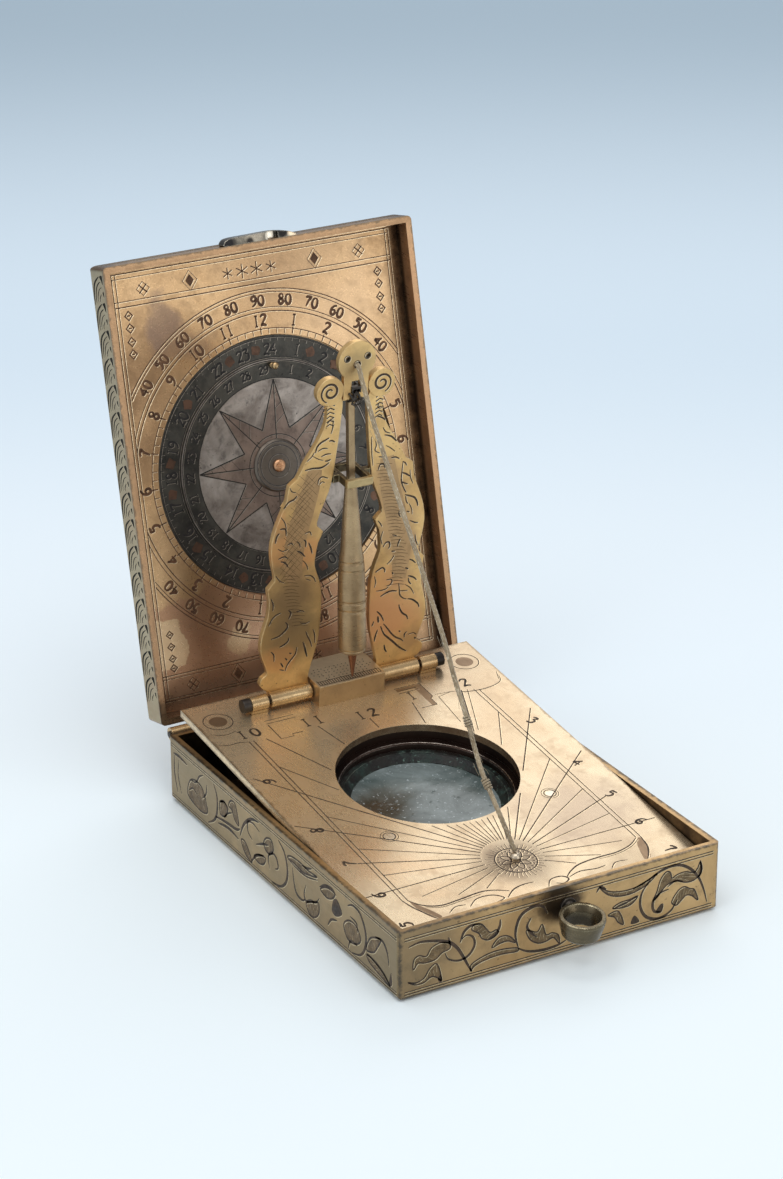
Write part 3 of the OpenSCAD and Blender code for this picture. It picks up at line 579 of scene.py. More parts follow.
nodeFinishes = {
    "caseBrass": ["case_tray", "plate_rests"],
    "lidBrass": ["lid_tray", "lid_dial"],
    "plateBrass": ["dial_plate"],
    "footSilver": ["box_rivets", "string_bead"],
    "hingeBrass": ["case_knuckles", "lid_knuckles", "front_lugs", "plate_knuckles", "end_knuckles",
                   "support_knuckles", "index_knob", "needle_cap"],
    "blockBrass": ["scale_block"],
    "ringBrass": ["cord_ring"],
    "catchSteel": ["lid_catch"],
    "dolphinBrass": ["left_dolphin", "right_dolphin", "support_head"],
    "guardBrass": ["bob_guard"],
    "bobBrass": ["bob_rod", "bob_body"],
    "bowlBrass": ["compass_box"],
    "bezelDark": ["glass_bezel"],
    "darkIron": ["lid_hinge_pin", "plate_hinge_pin", "support_pin", "ring_stud", "bob_hook", "needle_pivot"],
    "copperRivet": ["disc_axle"],
    "tipBrown": ["bob_tip"],
    "discSilver": ["star_disc"],
    "discGrey": ["boss_washer"],
    "discDark": ["hour_disc"],
    "verdigris": ["retaining_ring"],
    "cloudyGlass": ["compass_glass"],
    "cardBrass": ["compass_card"],
    "needleSteel": ["compass_needle"],
    "hemp": ["gnomon_string", "string_knot"],
}
for finish, names in nodeFinishes.items():
    for node in names:
        cadNodes[node].data.materials.clear()
        cadNodes[node].data.materials.append(finishes[finish])
print("solids dressed")


# Tools for lines and leaves drawn on a surface, in millimetres
def smooth(points, steps=5, closed=False):
    count = len(points)
    out = []
    for i in range(count if closed else count - 1):
        picks = [(i + k) % count if closed else min(max(i + k, 0), count - 1) for k in (-1, 0, 1, 2)]
        a, b, c, d = [Vector(points[k]) for k in picks]
        for k in range(steps):
            t = k / steps
            out.append((2 * b + (c - a) * t + (2 * a - 5 * b + 4 * c - d) * t * t
                        + (3 * b - a - 3 * c + d) * t ** 3) / 2)
    if not closed:
        out.append(Vector(points[-1]))
    return out


def atPolar(x, y, radius, angle):
    a = math.radians(angle)
    return Vector((x + radius * math.cos(a), y + radius * math.sin(a)))


def arc(x, y, radius, start, end, steps):
    # degrees, counter-clockwise from the right
    return [atPolar(x, y, radius, start + (end - start) * k / steps) for k in range(steps + 1)]


def spiral(x, y, outer, inner, start, turns, steps):
    return [atPolar(x, y, outer + (inner - outer) * k / steps, start + 360 * turns * k / steps)
            for k in range(steps + 1)]


def lozenge(x, y, wide, high):
    return [(x - wide, y), (x, y + high), (x + wide, y), (x, y - high)]


lineLift = 0.012
leafLift = lineLift * 0.3
sink = 0.03
glintOffset = (0.1, -0.09, -0.005)


class Drawing:
    # gathers lines and filled shapes of one surface into a mesh, in millimetres

    def __init__(self, surface, lift=lineLift, weight=1.3):
        self.surface = surfaces[surface]
        self.lift = lift
        self.weight = weight
        self.mesh = bmesh.new()

    def corner(self, x, y, z):
        return self.mesh.verts.new(self.surface @ Vector((x, y, z)))

    def line(self, points, width=0.16, closed=False, taper=0.0):
        points = [Vector(p) for p in points]
        count = len(points)
        rows = []
        for i, p in enumerate(points):
            before = points[i - 1] if closed or i > 0 else p
            after = points[(i + 1) % count] if closed or i < count - 1 else p
            along = after - before
            along = along.normalized() if along.length > 1e-9 else Vector((1, 0))
            share = abs(2 * i / max(count - 1, 1) - 1)
            half = width / 2 * self.weight * (1 - taper * share * share)
            side = Vector((-along.y, along.x)) * half
            a, b = p + side, p - side
            rows.append([self.corner(a.x, a.y, self.lift), self.corner(b.x, b.y, self.lift),
                         self.corner(b.x, b.y, -sink), self.corner(a.x, a.y, -sink)])
        for i in range(count if closed else count - 1):
            first, second = rows[i], rows[(i + 1) % count]
            for k in range(4):
                n = (k + 1) % 4
                self.mesh.faces.new((first[k], first[n], second[n], second[k]))
        if not closed:
            self.mesh.faces.new(list(reversed(rows[0])))
            self.mesh.faces.new(rows[-1])

    def curve(self, points, width, closed=False, taper=0.7, steps=5):
        self.line(smooth(points, steps, closed), width, closed, taper)

    def circle(self, x, y, radius, width, steps):
        self.line(arc(x, y, radius, 0, 360 - 360 / steps, steps - 1), width, closed=True)

    def tick(self, x, y, inner, outer, angle, width, taper=0.0):
        self.line([atPolar(x, y, inner, angle), atPolar(x, y, outer, angle)], width, taper=taper)

    def fill(self, points, soft=True):
        points = smooth(points, 4, closed=True) if soft else [Vector(p) for p in points]
        top = [self.corner(p.x, p.y, self.lift) for p in points]
        low = [self.corner(p.x, p.y, -sink) for p in points]
        faces = [self.mesh.faces.new(top), self.mesh.faces.new(list(reversed(low)))]
        for i in range(len(points)):
            n = (i + 1) % len(points)
            self.mesh.faces.new((top[n], top[i], low[i], low[n]))
        bmesh.ops.triangulate(self.mesh, faces=faces, ngon_method="EAR_CLIP")

    def finish(self, name, body, finish, glint=None):
        bmesh.ops.recalc_face_normals(self.mesh, faces=self.mesh.faces)
        self.settle(name, body, finish)
        # painted highlight: a lighter copy of the lines, moved beside them and a little lower
        if glint:    # the lit side of each cut, beside the dark one and a little lower
            offset = self.surface.to_3x3() @ Vector(glintOffset)
            bmesh.ops.translate(self.mesh, vec=offset, verts=self.mesh.verts)
            self.settle(name + "Glint", body, glint)
        self.mesh.free()

    def settle(self, name, body, finish):
        mesh = bpy.data.meshes.new(name)
        self.mesh.to_mesh(mesh)
        mesh.materials.append(finishes[finish])
        piece = bpy.data.objects.new(name, mesh)
        scene.collection.objects.link(piece)
        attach(piece, body)


# Old-style figures as pen strokes in a box one unit high
figureStrokes = {
    "0": [[(0, 1), (-0.24, 0.8), (-0.26, 0.3), (0, 0), (0.26, 0.25), (0.24, 0.8), (0, 1)]],
    "1": [[(0, 0), (0, 1)], [(-0.16, 0.02), (0.16, 0.02)], [(-0.16, 0.96), (0.14, 0.99)]],
    "2": [[(-0.26, 0.8), (-0.06, 1), (0.24, 0.94), (0.18, 0.66), (-0.26, 0.06)],
          [(-0.28, 0.04), (0, 0.12), (0.3, 0.0)]],
    "3": [[(-0.24, 0.9), (0.0, 1), (0.22, 0.92), (-0.04, 0.62)],
          [(-0.04, 0.62), (0.26, 0.5), (0.2, 0.12), (-0.1, 0.0), (-0.24, 0.08)]],
    "4": [[(0.18, 1), (-0.02, 0.66), (-0.3, 0.36), (0.34, 0.34)], [(0.12, 0.66), (0.14, -0.04)]],
    "5": [[(0.28, 1.02), (0.02, 0.94), (-0.16, 0.94), (-0.2, 0.6)],
          [(-0.2, 0.6), (0.12, 0.66), (0.22, 0.36), (0.06, 0.06), (-0.2, 0.0)]],
    "6": [[(0.22, 1), (-0.1, 0.8), (-0.26, 0.4), (-0.14, 0.04), (0.12, 0.02), (0.24, 0.26), (0.08, 0.5),
           (-0.2, 0.36)]],
    "7": [[(-0.26, 0.82), (-0.16, 0.96), (0.28, 0.98), (0.06, 0.6), (-0.1, 0)]],
    "8": [[(0.22, 0.84), (0, 1), (-0.2, 0.84), (-0.12, 0.62), (0.16, 0.42), (0.22, 0.16), (0, 0),
           (-0.22, 0.16), (-0.14, 0.42), (0.14, 0.62), (0.22, 0.84)]],
    "9": [[(0.2, 0.64), (-0.08, 0.5), (-0.24, 0.74), (-0.08, 0.98), (0.16, 0.96), (0.26, 0.6), (0.1, 0.2),
           (-0.22, 0)]],
}


def writeFigures(drawing, text, place, height, turn, width, gap=0.62):
    right, up = atPolar(0, 0, 1, turn), atPolar(0, 0, 1, turn + 90)
    start = -gap * (len(text) - 1) / 2
    for k, figure in enumerate(text):
        for stroke in figureStrokes[figure]:
            points = [Vector(place) + right * (x + start + gap * k) * height + up * (y - 0.5) * height
                      for x, y in stroke]
            if len(points) > 2:
                points = smooth(points, 4)
            drawing.line(points, width, taper=0.45)


def rosette(drawing, x, y, radius, petals, width=0.16):
    drawing.circle(x, y, radius * 0.3, width, 12)
    for k in range(petals):
        a = 90 + 360 * k / petals
        tip = atPolar(x, y, radius, a)
        left = atPolar(x, y, radius * 0.62, a - 160 / petals)
        right = atPolar(x, y, radius * 0.62, a + 160 / petals)
        root = atPolar(x, y, radius * 0.32, a)
        drawing.curve([root, left, tip, right, root], width, taper=0.3, steps=3)


# String: hemp from the head's middle hole to the bead at the plate, with two bindings on it
stringSetup = {
    "diameter": 0.9,
    "route": [(0, 27.8, 84.7), (0, 27, 84.2), (-0.1, 25.4, 81.6), (-0.3, 20.5, 74.8), (-0.3, 12.4, 64.3),
              (-0.3, 4.4, 53.9), (-0.3, -3.4, 43.5), (-0.4, -7.4, 37.3), (-0.5, -11.3, 32.3),
              (-0.6, -16.1, 24.8), (-0.4, -19.6, 20.8), (-0.2, -23, 17.2), (0, -27.2, 12.8)],
    "plies": 3,
    "plyTurn": 2.6,
    "bindings": [0.735, 0.86],
    "bindingTurns": 4,
    "bindingLength": 1.9,
    "thread": 0.2,
    "spreadFibres": 16,
    "gatheredFibres": 10,
    "fibre": 0.035,
}


def alongPath(path, share):
    lengths = [0]
    for a, b in zip(path, path[1:]):
        lengths.append(lengths[-1] + (b - a).length)
    goal = share * lengths[-1]
    for k in range(len(path) - 1):
        if lengths[k + 1] >= goal or k == len(path) - 2:
            part = (goal - lengths[k]) / max(lengths[k + 1] - lengths[k], 1e-9)
            return path[k].lerp(path[k + 1], part), (path[k + 1] - path[k]).normalized(), lengths[-1]


def sideVectors(along):
    side = along.cross(Vector((1, 0, 0))).normalized()
    return side, along.cross(side).normalized()


def meshObject(name, verts, faces, finish):
    mesh = bpy.data.meshes.new(name)
    mesh.from_pydata([Vector(v) * mm for v in verts], [], faces)
    mesh.materials.append(finishes[finish])
    for polygon in mesh.polygons:
        polygon.use_smooth = True
    mesh.update()
    piece = bpy.data.objects.new(name, mesh)
    scene.collection.objects.link(piece)
    return piece


def sweptTube(path, radiusAt, sides):
    verts = []
    faces = []
    count = len(path)
    for i, p in enumerate(path):
        along = (path[min(i + 1, count - 1)] - path[max(i - 1, 0)]).normalized()
        side, up = sideVectors(along)
        for k in range(sides):
            a = 2 * math.pi * k / sides
            r = radiusAt(i, a)
            verts.append(p + side * (r * math.cos(a)) + up * (r * math.sin(a)))
    for i in range(count - 1):
        for k in range(sides):
            n = (k + 1) % sides
            faces.append((i * sides + k, i * sides + n, (i + 1) * sides + n, (i + 1) * sides + k))
    faces.append(tuple(reversed(range(sides))))
    faces.append(tuple(range((count - 1) * sides, count * sides)))
    return verts, faces


def evenPath(route, count=300):
    # the route in short equal steps, with its corners eased
    fine = [alongPath(route, k / (count - 1))[0] for k in range(count)]
    eased = [(fine[k - 1] + fine[k] * 2 + fine[k + 1]) / 4 for k in range(1, count - 1)]
    return [fine[0]] + eased + [fine[-1]]


def makeRope(path, total, radius, setup):
    def twisted(i, a):
        turn = 2 * math.pi * (i / len(path)) * total / setup["plyTurn"]
        return radius * (0.84 + 0.16 * abs(math.cos(setup["plies"] * (a - turn) / 2)))

    return meshObject("string", *sweptTube(path, twisted, 12), "hemp")


def makeBinding(name, route, share, total, radius, setup):
    # a thread wound round the string at one place
    steps = 16 * setup["bindingTurns"]
    coil = []
    for k in range(steps + 1):
        place = share + (k / steps - 0.5) * setup["bindingLength"] / total
        spot, along, length = alongPath(route, place)
        side, up = sideVectors(along)
        a = 2 * math.pi * k / 16
        coil.append(spot + (side * math.cos(a) + up * math.sin(a)) * (radius + 0.12))
    return meshObject(name, *sweptTube(coil, lambda i, a: setup["thread"], 6), "hemp")


def makeFibres(route, radius, setup):
    # loose hairs along the string, the later ones gathered near the upper binding
    rng = random.Random(7)
    verts, faces = [], []
    for k in range(setup["spreadFibres"] + setup["gatheredFibres"]):
        share = rng.uniform(0.04, 0.97) if k < setup["spreadFibres"] else rng.gauss(0.77, 0.05)
        spot, along, length = alongPath(route, min(max(share, 0.03), 0.97))
        side, up = sideVectors(along)
        a = rng.uniform(0, 2 * math.pi)
        out = side * math.cos(a) + up * math.sin(a)
        reach = rng.uniform(0.5, 1.1)
        hair = [spot + out * radius * 0.8, spot + out * (radius + reach * 0.35) + along * 0.7,
                spot + out * (radius + reach * 0.6) + along * 1.6 * rng.choice((-1, 1, 1))]
        base = len(verts)
        part, sheets = sweptTube(smooth(hair, 3), lambda i, a: setup["fibre"], 4)
        verts += part
        faces += [tuple(v + base for v in face) for face in sheets]
    return meshObject("stringFibres", verts, faces, "hemp")


def makeString(setup):
    route = smooth([Vector(p) for p in setup["route"]], 3)
    radius = setup["diameter"] / 2
    total = alongPath(route, 1)[2]
    path = evenPath(route)
    string = makeRope(path, total, radius, setup)
    extras = [makeBinding(f"stringBinding{number + 1}", route, share, total, radius, setup)
              for number, share in enumerate(setup["bindings"])]
    extras.append(makeFibres(route, radius, setup))
    for piece in [string] + extras:
        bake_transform(piece)
    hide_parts("gnomon_string")


makeString(stringSetup)


# Leaf scrolls and borders on the walls of the case and the lid
def hatchLeaf(lines, leaf, width):
    # veins across a leaf, from one side of its outline to the other
    count = len(leaf)
    for k in range(1, count // 2):
        a, b = Vector(leaf[k]), Vector(leaf[count - k])
        lines.line([a.lerp(b, 0.12), a.lerp(b, 0.6)], width, taper=0.8)
        if k + 1 < count // 2:
            c = a.lerp(Vector(leaf[k + 1]), 0.5)
            d = b.lerp(Vector(leaf[count - k - 1]), 0.5)
            lines.line([c.lerp(d, 0.3), c.lerp(d, 0.9)], width, taper=0.8)


def engrave(surface, body, plan, finish="cutDark", weight=1.6):
    # all strokes, dark fills, veined leaves and rules of one face, and the tint of its leaves
    lines = Drawing(surface, weight=weight)
    for width, points in plan.get("strokes", ()):
        lines.curve(points, width)
    for points in plan.get("dark", ()):
        lines.fill(points)
    for points in plan.get("leaves", ()):
        lines.curve(points, plan.get("outline", 0.15), closed=True, taper=0)
        hatchLeaf(lines, points, 0.09)
    for width, points in plan.get("rules", ()):
        lines.line(points, width)
    lines.finish(surface + "Lines", body, finish, "caseGlint")
    if plan.get("leaves"):
        shades = Drawing(surface, leafLift)
        for points in plan["leaves"]:
            shades.fill(points)
        shades.finish(surface + "Leaves", body, "leafShade")


def framed(left, right, low, high, gap=0.5):
    # two thin border lines along each long side of a face
    return [(0.1, [(left, y), (right, y)]) for y in (low, low + gap, high - gap, high)]


# Front wall of the case: scrolls drawn after the photograph
caseFrontPlan = {
    "strokes": [
        (0.34, [(-30.2, 10.1), (-28, 10.5), (-25, 9.9), (-22.6, 9), (-21, 7.6), (-19.8, 5.6), (-18.6, 3.2),
                (-18, 2.1)]),
        (0.26, [(-20, 8.8), (-19, 9.3), (-17.8, 8.6), (-17.5, 7), (-18.6, 5.4), (-20.5, 4.9), (-22.5, 5.7),
                (-23.2, 7.1)]),
        (0.3, [(-20.3, 8.2), (-19.6, 10), (-18.2, 10.9), (-16.4, 10.7)]),
        (0.3, [(-12.5, 10.5), (-12.6, 9.2), (-13.4, 7.9), (-14.8, 7.3)]),
        (0.24, [(-22.6, 9.9), (-22.2, 8.6)]),
        (0.34, [(-8.9, 4.1), (-9.5, 6.9), (-8.6, 9.9), (-6.2, 11.1), (-4.2, 10.7), (-3.2, 9)]),
        (0.3, [(-9, 4), (-7, 2.8), (-4, 2.2), (-1, 2.3), (0.6, 2.8)]),
        (0.28, [(-6.4, 9.1), (-7.2, 7.6), (-6.3, 6.1), (-5.2, 5)]),
        (0.3, [(14, 9), (17, 9.8), (20, 11), (23, 11.2), (25.5, 10), (27.5, 7.8), (28.8, 5), (29.6, 2.2)]),
        (0.32, [(17.6, 9.8), (15.9, 7.6), (15.7, 5), (17, 2.7), (19.5, 1.7), (22, 2.5), (23.4, 4.4)]),
        (0.3, [(21.5, 6.9), (19.6, 6.6), (18.3, 5.3), (18.5, 3.5), (19.9, 2.9), (20.4, 4)]),
        (0.3, [(27.9, 10.8), (28.2, 9), (27.6, 7.6)]),
        (0.22, [(21.2, 7.4), (22.8, 8.2), (24.4, 7.6)]),
        (0.24, [(6.6, 10.3), (7.4, 11.2), (8.6, 10.4)]),
        (0.2, [(10, 6.2), (12.5, 6.6), (15, 7.3)]),
    ],
    "leaves": [
        [(-29.3, 5.6), (-29.2, 7.4), (-28.2, 8), (-26.8, 7.5), (-25.8, 8.8), (-24, 9.3), (-22.4, 8.7),
         (-22.3, 7.7), (-23.8, 7.3), (-25.1, 6.4), (-27, 6.3), (-28.4, 6.6)],
        [(-30.3, 3.5), (-28.8, 3), (-27.2, 3.5), (-26.2, 4.9), (-25, 5.6), (-24.3, 4.4), (-23.9, 2.1),
         (-24.8, 2.9), (-25.9, 3.3), (-27.4, 2.6), (-29, 2.7)],
        [(-17.6, 10.9), (-16.2, 10.6), (-15.2, 9.4), (-14.4, 8.5), (-13.2, 8.7), (-13, 7.9), (-14.6, 7.2),
         (-16, 7.8), (-16.7, 9), (-18, 10)],
        [(-14.1, 5.5), (-13, 6.9), (-11.6, 7.1), (-10.3, 6.4), (-9.5, 5.2), (-10.9, 5.9), (-12.4, 5.9)],
        [(-18.2, 2.2), (-18, 3.5), (-15, 4.5), (-12, 4.6), (-9, 4), (-9.2, 3.4), (-12, 3.7), (-15, 3.6),
         (-17.4, 3)],
        [(-7.3, 6.9), (-6.6, 5), (-5, 3.8), (-3.4, 3.7), (-1.9, 4), (-0.7, 2.6), (-0.9, 4.2), (-2.2, 5),
         (-3.4, 5), (-4.2, 7.2), (-5.2, 6)],
        [(7.2, 11.2), (9, 9.9), (11.4, 9.2), (14.4, 9.1), (17.4, 10), (19, 10.7), (17, 9.1), (14, 8.2),
         (11, 8.4), (8.8, 9.4)],
        [(10, 6.3), (11.4, 7), (13.4, 7.1), (15.1, 7.3), (13.8, 6.1), (12.2, 5.9)],
        [(9.1, 5.2), (10.8, 5.6), (11.7, 4.6), (12.3, 2.6), (11.2, 3.3), (10.4, 4.5)],
        [(18.2, 5.4), (19, 7), (19.7, 9.2), (20.8, 10.4), (21.7, 10.1), (22.1, 8.9), (23.2, 9.3), (24.8, 9.4),
         (26.6, 8.8), (27.4, 9.4), (27.9, 10.5), (28.1, 8.4), (26.8, 7.3), (25, 7.3), (23, 8.1), (21.2, 7.9),
         (19.8, 6.8)],
        [(22.2, 4.2), (23.4, 6), (24.7, 6.5), (25.9, 5.8), (26.9, 5.3), (27.7, 3.1), (26.4, 4.3), (25.2, 4.7),
         (24.2, 4), (23.2, 3.3)],
    ],
    "dark": [
        [(13.8, 2.2), (14.5, 3.7), (15.6, 2.2)],
        [(18.9, 3.2), (19.8, 2.9), (20.5, 4.2), (19.9, 4.4)],
        [(-24.6, 2.6), (-24, 3.2), (-23.8, 1.9), (-24.3, 1.9)],
    ],
    "rules": framed(-31, 30.6, 1.2, 11.9),
}
engrave("caseFront", "case", caseFrontPlan, weight=1.9)
print("front scrolls done")

# Left wall of the case
caseLeftPlan = {
    "outline": 0.2,
    "strokes": [
        (0.34, [(-41, 10.3), (-38.6, 10.5), (-35.4, 10.2)]),
        (0.26, [(-40.6, 10.1), (-40.7, 6.4), (-39.6, 2.8)]),
        (0.2, [(-38.9, 9.7), (-39.2, 6.2), (-38, 3.1)]),
        (0.24, [(-33.8, 7.8), (-31.8, 8.2), (-30.4, 10), (-28.8, 10.9)]),
        (0.24, [(-29.4, 6), (-27.8, 7.6), (-27.4, 9.6)]), (0.22, [(-34.8, 5.3), (-33.2, 6.4), (-31.6, 5.8)]),
        (0.36, [(-24.6, 11.1), (-23.3, 9), (-23.4, 6), (-24.6, 3.8), (-27.2, 2.1)]),
        (0.26, [(-22.4, 8.5), (-20.6, 9.3), (-19.2, 8.4)]), (0.2, [(-20.8, 6), (-19, 7.6), (-17.4, 8.4)]),
        (0.36, [(-24.2, 4.7), (-20, 5.4), (-16, 5.8), (-14.4, 6.5)]),
        (0.34, [(-23.2, 3.8), (-19, 4.6), (-15, 4.2)]),
        (0.36, [(-7, 11.2), (-10, 10.5), (-12.8, 8.2), (-14.4, 5.2)]),
        (0.24, [(-9.6, 6.5), (-11.2, 7.5), (-11.2, 9.4), (-9.2, 10), (-6.8, 9.4)]),
        (0.3, [(-10.2, 1.9), (-8.2, 4), (-5.2, 5.4)]), (0.28, [(-8.2, 6.3), (-5.5, 7.6), (-3.4, 8.3)]),
        (0.3, [(-3.1, 3.8), (-3.5, 6), (-2.2, 7.4), (-0.4, 7.1), (0.2, 5.5), (-1, 4.7)]),
        (0.36, [(0.4, 11.1), (2.6, 9.7), (3.7, 7), (3.2, 4.2), (1, 2.2), (-2.4, 1.6)]),
        (0.22, [(4, 9), (8, 8.6), (11, 8.8), (14.8, 9.9)]), (0.24, [(9, 10.1), (11, 10.5), (12.8, 11.2)]),
        (0.3, [(5.6, 8.1), (6.2, 5), (7.2, 3.5), (9, 3.3), (10.1, 3.9)]),
        (0.28, [(10.5, 6.9), (9.8, 5), (10.4, 3.8), (12.2, 4.7), (14, 5.2), (15.3, 6.6)]),
        (0.26, [(15.4, 8.9), (17.4, 10.2), (20, 10.7), (21.4, 10)]),
        (0.26, [(18.3, 2.9), (19.6, 4.6), (21.6, 5.3)]),
        (0.36, [(25.4, 10.1), (27.4, 11), (30, 10.4), (31.7, 7.6), (31.3, 4.6), (29.6, 2.6), (26.8, 1.7)]),
        (0.24, [(26.2, 8.4), (28.5, 8.1), (28.8, 6.4)]), (0.24, [(25.5, 1.9), (26.4, 3.8), (28.6, 4)]),
        (0.3, [(34.8, 8.7), (37.4, 9.1), (39, 7.6), (39.5, 5.4)]),
        (0.3, [(32, 4.1), (35, 3.9), (38, 3), (39.8, 1.7)]),
    ],
    "leaves": [
        [(-35.4, 4.4), (-34.4, 7.4), (-32, 8.5), (-29.4, 8.1), (-28, 6.2), (-27.4, 4), (-29.8, 3.1),
         (-33, 3.4)],
        [(-22.2, 8.4), (-20.6, 9.2), (-19, 8.5), (-20.2, 6.6), (-22, 6.1)],
        [(-18.7, 9.3), (-17.8, 10.7), (-16.2, 10.8), (-15.2, 9), (-14.8, 7), (-16.2, 7.4), (-17.4, 8.9)],
        [(-13.9, 4.7), (-12.4, 4.8), (-10.6, 3.2), (-10, 1.8), (-12, 2.2), (-13.4, 3.4)],
        [(-5.2, 8), (-4, 9.5), (-2.2, 9.8), (-1.5, 8.4), (-2.4, 7), (-4.2, 6.7)],
        [(-9, 3.6), (-7, 4.8), (-4.6, 5.1), (-5.4, 3.6), (-7.4, 3)],
        [(3.8, 9.3), (6.4, 9.2), (9.2, 9), (11.4, 9.4), (14.6, 10.4), (11.2, 10.2), (8.4, 10.4), (5.2, 10.1)],
        [(10.5, 3.4), (12, 4.3), (14.9, 5.6), (15.1, 3.6), (13.4, 2), (11.6, 1.9)],
        [(15.8, 8.7), (18, 8.1), (20.2, 9), (20.8, 10.2), (18.2, 10.1)],
        [(24, 5.8), (26, 7.5), (28.6, 7.4), (29.9, 5.6), (28.2, 4), (25.4, 3.6)],
        [(31.8, 4.8), (33, 7.4), (35, 8.6), (36.8, 9), (35.6, 7), (34.2, 5.4)],
        [(32, 3.9), (35, 3.7), (38.2, 2.8), (39.6, 1.8), (36, 2.2), (33, 2.8)],
    ],
    "dark": [
        [(19.8, 6.6), (20.4, 8.8), (21.8, 9.4), (23.5, 7.7), (22.4, 6.5), (20.8, 5.9)],
        [(39.4, 1.6), (40.2, 4.5), (40.6, 2.4)],
    ],
    "rules": framed(-42, 42, 1.1, 12),
}
engrave("caseLeft", "case", caseLeftPlan, weight=1.9)


def vinePlan(start, end, low, high, bays):
    # a running vine for the walls that the picture does not show
    plan = {"strokes": [], "leaves": [], "dark": []}
    pitch = (end - start) / bays
    middle = (low + high) / 2
    rise = (high - low) / 2
    for k in range(bays):
        x = start + pitch * (k + 0.5)
        way = 1 if k % 2 == 0 else -1

        def spot(dx, dy):
            return (x + dx * pitch, middle + way * dy * rise)

        plan["strokes"] += [
            (0.34, [spot(-0.5, -0.55), spot(-0.34, -0.95), spot(-0.12, -0.6), spot(0.02, 0.1),
                    spot(0.2, 0.85), spot(0.4, 0.9), spot(0.5, 0.55)]),
            (0.3, [spot(0.02, 0.1), spot(-0.12, 0.75), spot(-0.32, 0.7), spot(-0.38, 0.1), spot(-0.26, -0.3),
                   spot(-0.16, 0), spot(-0.22, 0.2)]),
            (0.24, [spot(0.1, 0.5), spot(0.2, 0), spot(0.34, -0.2), spot(0.42, 0.1)]),
        ]
        plan["leaves"] += [
            [spot(0.06, -0.1), spot(0.16, -0.2), spot(0.22, -0.6), spot(0.34, -0.75), spot(0.42, -0.95),
             spot(0.26, -0.92), spot(0.12, -0.8), spot(0.06, -0.5)],
            [spot(-0.02, 0.9), spot(-0.14, 0.98), spot(-0.3, 0.86), spot(-0.2, 0.8), spot(-0.08, 0.7)],
            [spot(0.24, 0.3), spot(0.32, 0.55), spot(0.42, 0.45), spot(0.46, 0.1), spot(0.36, 0.15)],
        ]
        plan["dark"].append([spot(-0.46, -0.1), spot(-0.42, 0.4), spot(-0.4, -0.2)])
    plan["rules"] = framed(start - 1, end + 1, low - 1, high + 1)
    return plan


engrave("caseRight", "case", vinePlan(-40, 40, 2.3, 10.8, 7))
engrave("caseBack", "case", vinePlan(-30, 30, 2.3, 8.6, 6))
print("case walls done")


# Sides of the lid: a running border of long bent leaves with dark notches along the rim
def leafBorder(start, end, pitch=5.0):
    plan = {"strokes": [], "dark": []}
    for k in range(int((end - start) / pitch)):
        x = start + pitch * k
        plan["strokes"] += [
            (0.34, [(x + 5.6, 0.6), (x + 3.6, 0.7), (x + 1.6, 1.5), (x + 0.3, 3.6)]),
            (0.22, [(x + 5.3, 1.4), (x + 3.8, 1.5), (x + 2.1, 2.4), (x + 1.2, 4)]),
            (0.16, [(x + 5.1, 2.2), (x + 4, 2.3), (x + 2.8, 3.1), (x + 2.2, 4.3)]),
            (0.16, [(x + 5, 3.1), (x + 4.3, 3.2), (x + 3.5, 3.9)]),
        ]
        plan["dark"] += [[(x + 0.1, 5), (x + 0.3, 3.9), (x + 1, 4.4), (x + 1.8, 5)],
                         [(x + 3, 5), (x + 3.3, 4.5), (x + 4.1, 5)]]
    return plan


for side in ("lidLeft", "lidRight"):
    engrave(side, "lid", leafBorder(-41.5, 40), "sideInk")
engrave("lidTop", "lid", {"rules": framed(-31, 31, 0.8, 2.8, 0.45)})


# Hinge-side dial in the lid: rings, hour figures, degree figures and borders
dialPlan = {
    "centre": (-0.2, 43.3),
    "rings": [(33.1, 0.16), (32.5, 0.12), (29.7, 0.12), (28.95, 0.16), (25.75, 0.13)],
    "ticks": (24.75, 25.7, 26.1),
    "sideX": 28.2,
    "hourRadius": 27.35,
    "bandRadius": 31.1,
    "across": [(83.7, 0.16), (82.8, 0.1), (78.6, 0.12), (77.6, 0.16), (8.1, 0.14), (7.5, 0.1), (3.8, 0.1),
               (3.3, 0.14)],
    "acrossEnds": (-29, 28.6),
    "upright": [-28.9, -28.2, 28, 28.7],
    "uprightEnds": (3.3, 83.7),
    # painted shadow: a dark line along the foot of the left and top walls
    "corner": [(-30.35, 1.4), (-30.35, 84.25), (30.2, 84.25)],
    "signRows": [80.4, 5.6],
    "crosses": (-22.9, 22),
    "lozenges": (-13.4, 12.6),
    "stars": [(-5.6, 1.1), (-2.6, 1.35), (0.4, 1.35), (3.4, 1.1)],
    "sideColumns": (-26.4, 25.6),
    "sideSigns": [(0.75, 0.85, 0.26, (75.9, 73.6, 71.1, 68.8)), (0.7, 0.7, 0.24, (15.8, 13.5, 11.2, 9.4))],
}


def insideSides(points, limit):
    # the runs of a line that stay between the dial's side borders
    runs = [[]]
    for p in points:
        if abs(p.x) < limit:
            runs[-1].append(p)
        elif runs[-1]:
            runs.append([])
    return [run for run in runs if len(run) > 2]


def drawDialRings(lines, plan):
    cx, cy = plan["centre"]
    for radius, width in plan["rings"]:
        for run in insideSides(arc(cx, cy, radius, 0, 360, 240), plan["sideX"]):
            lines.line(run, width)
    inner, short, long = plan["ticks"]
    for k in range(96):
        lines.tick(cx, cy, inner, short if k % 4 else long, 360 * k / 96, 0.12 if k % 4 else 0.18)


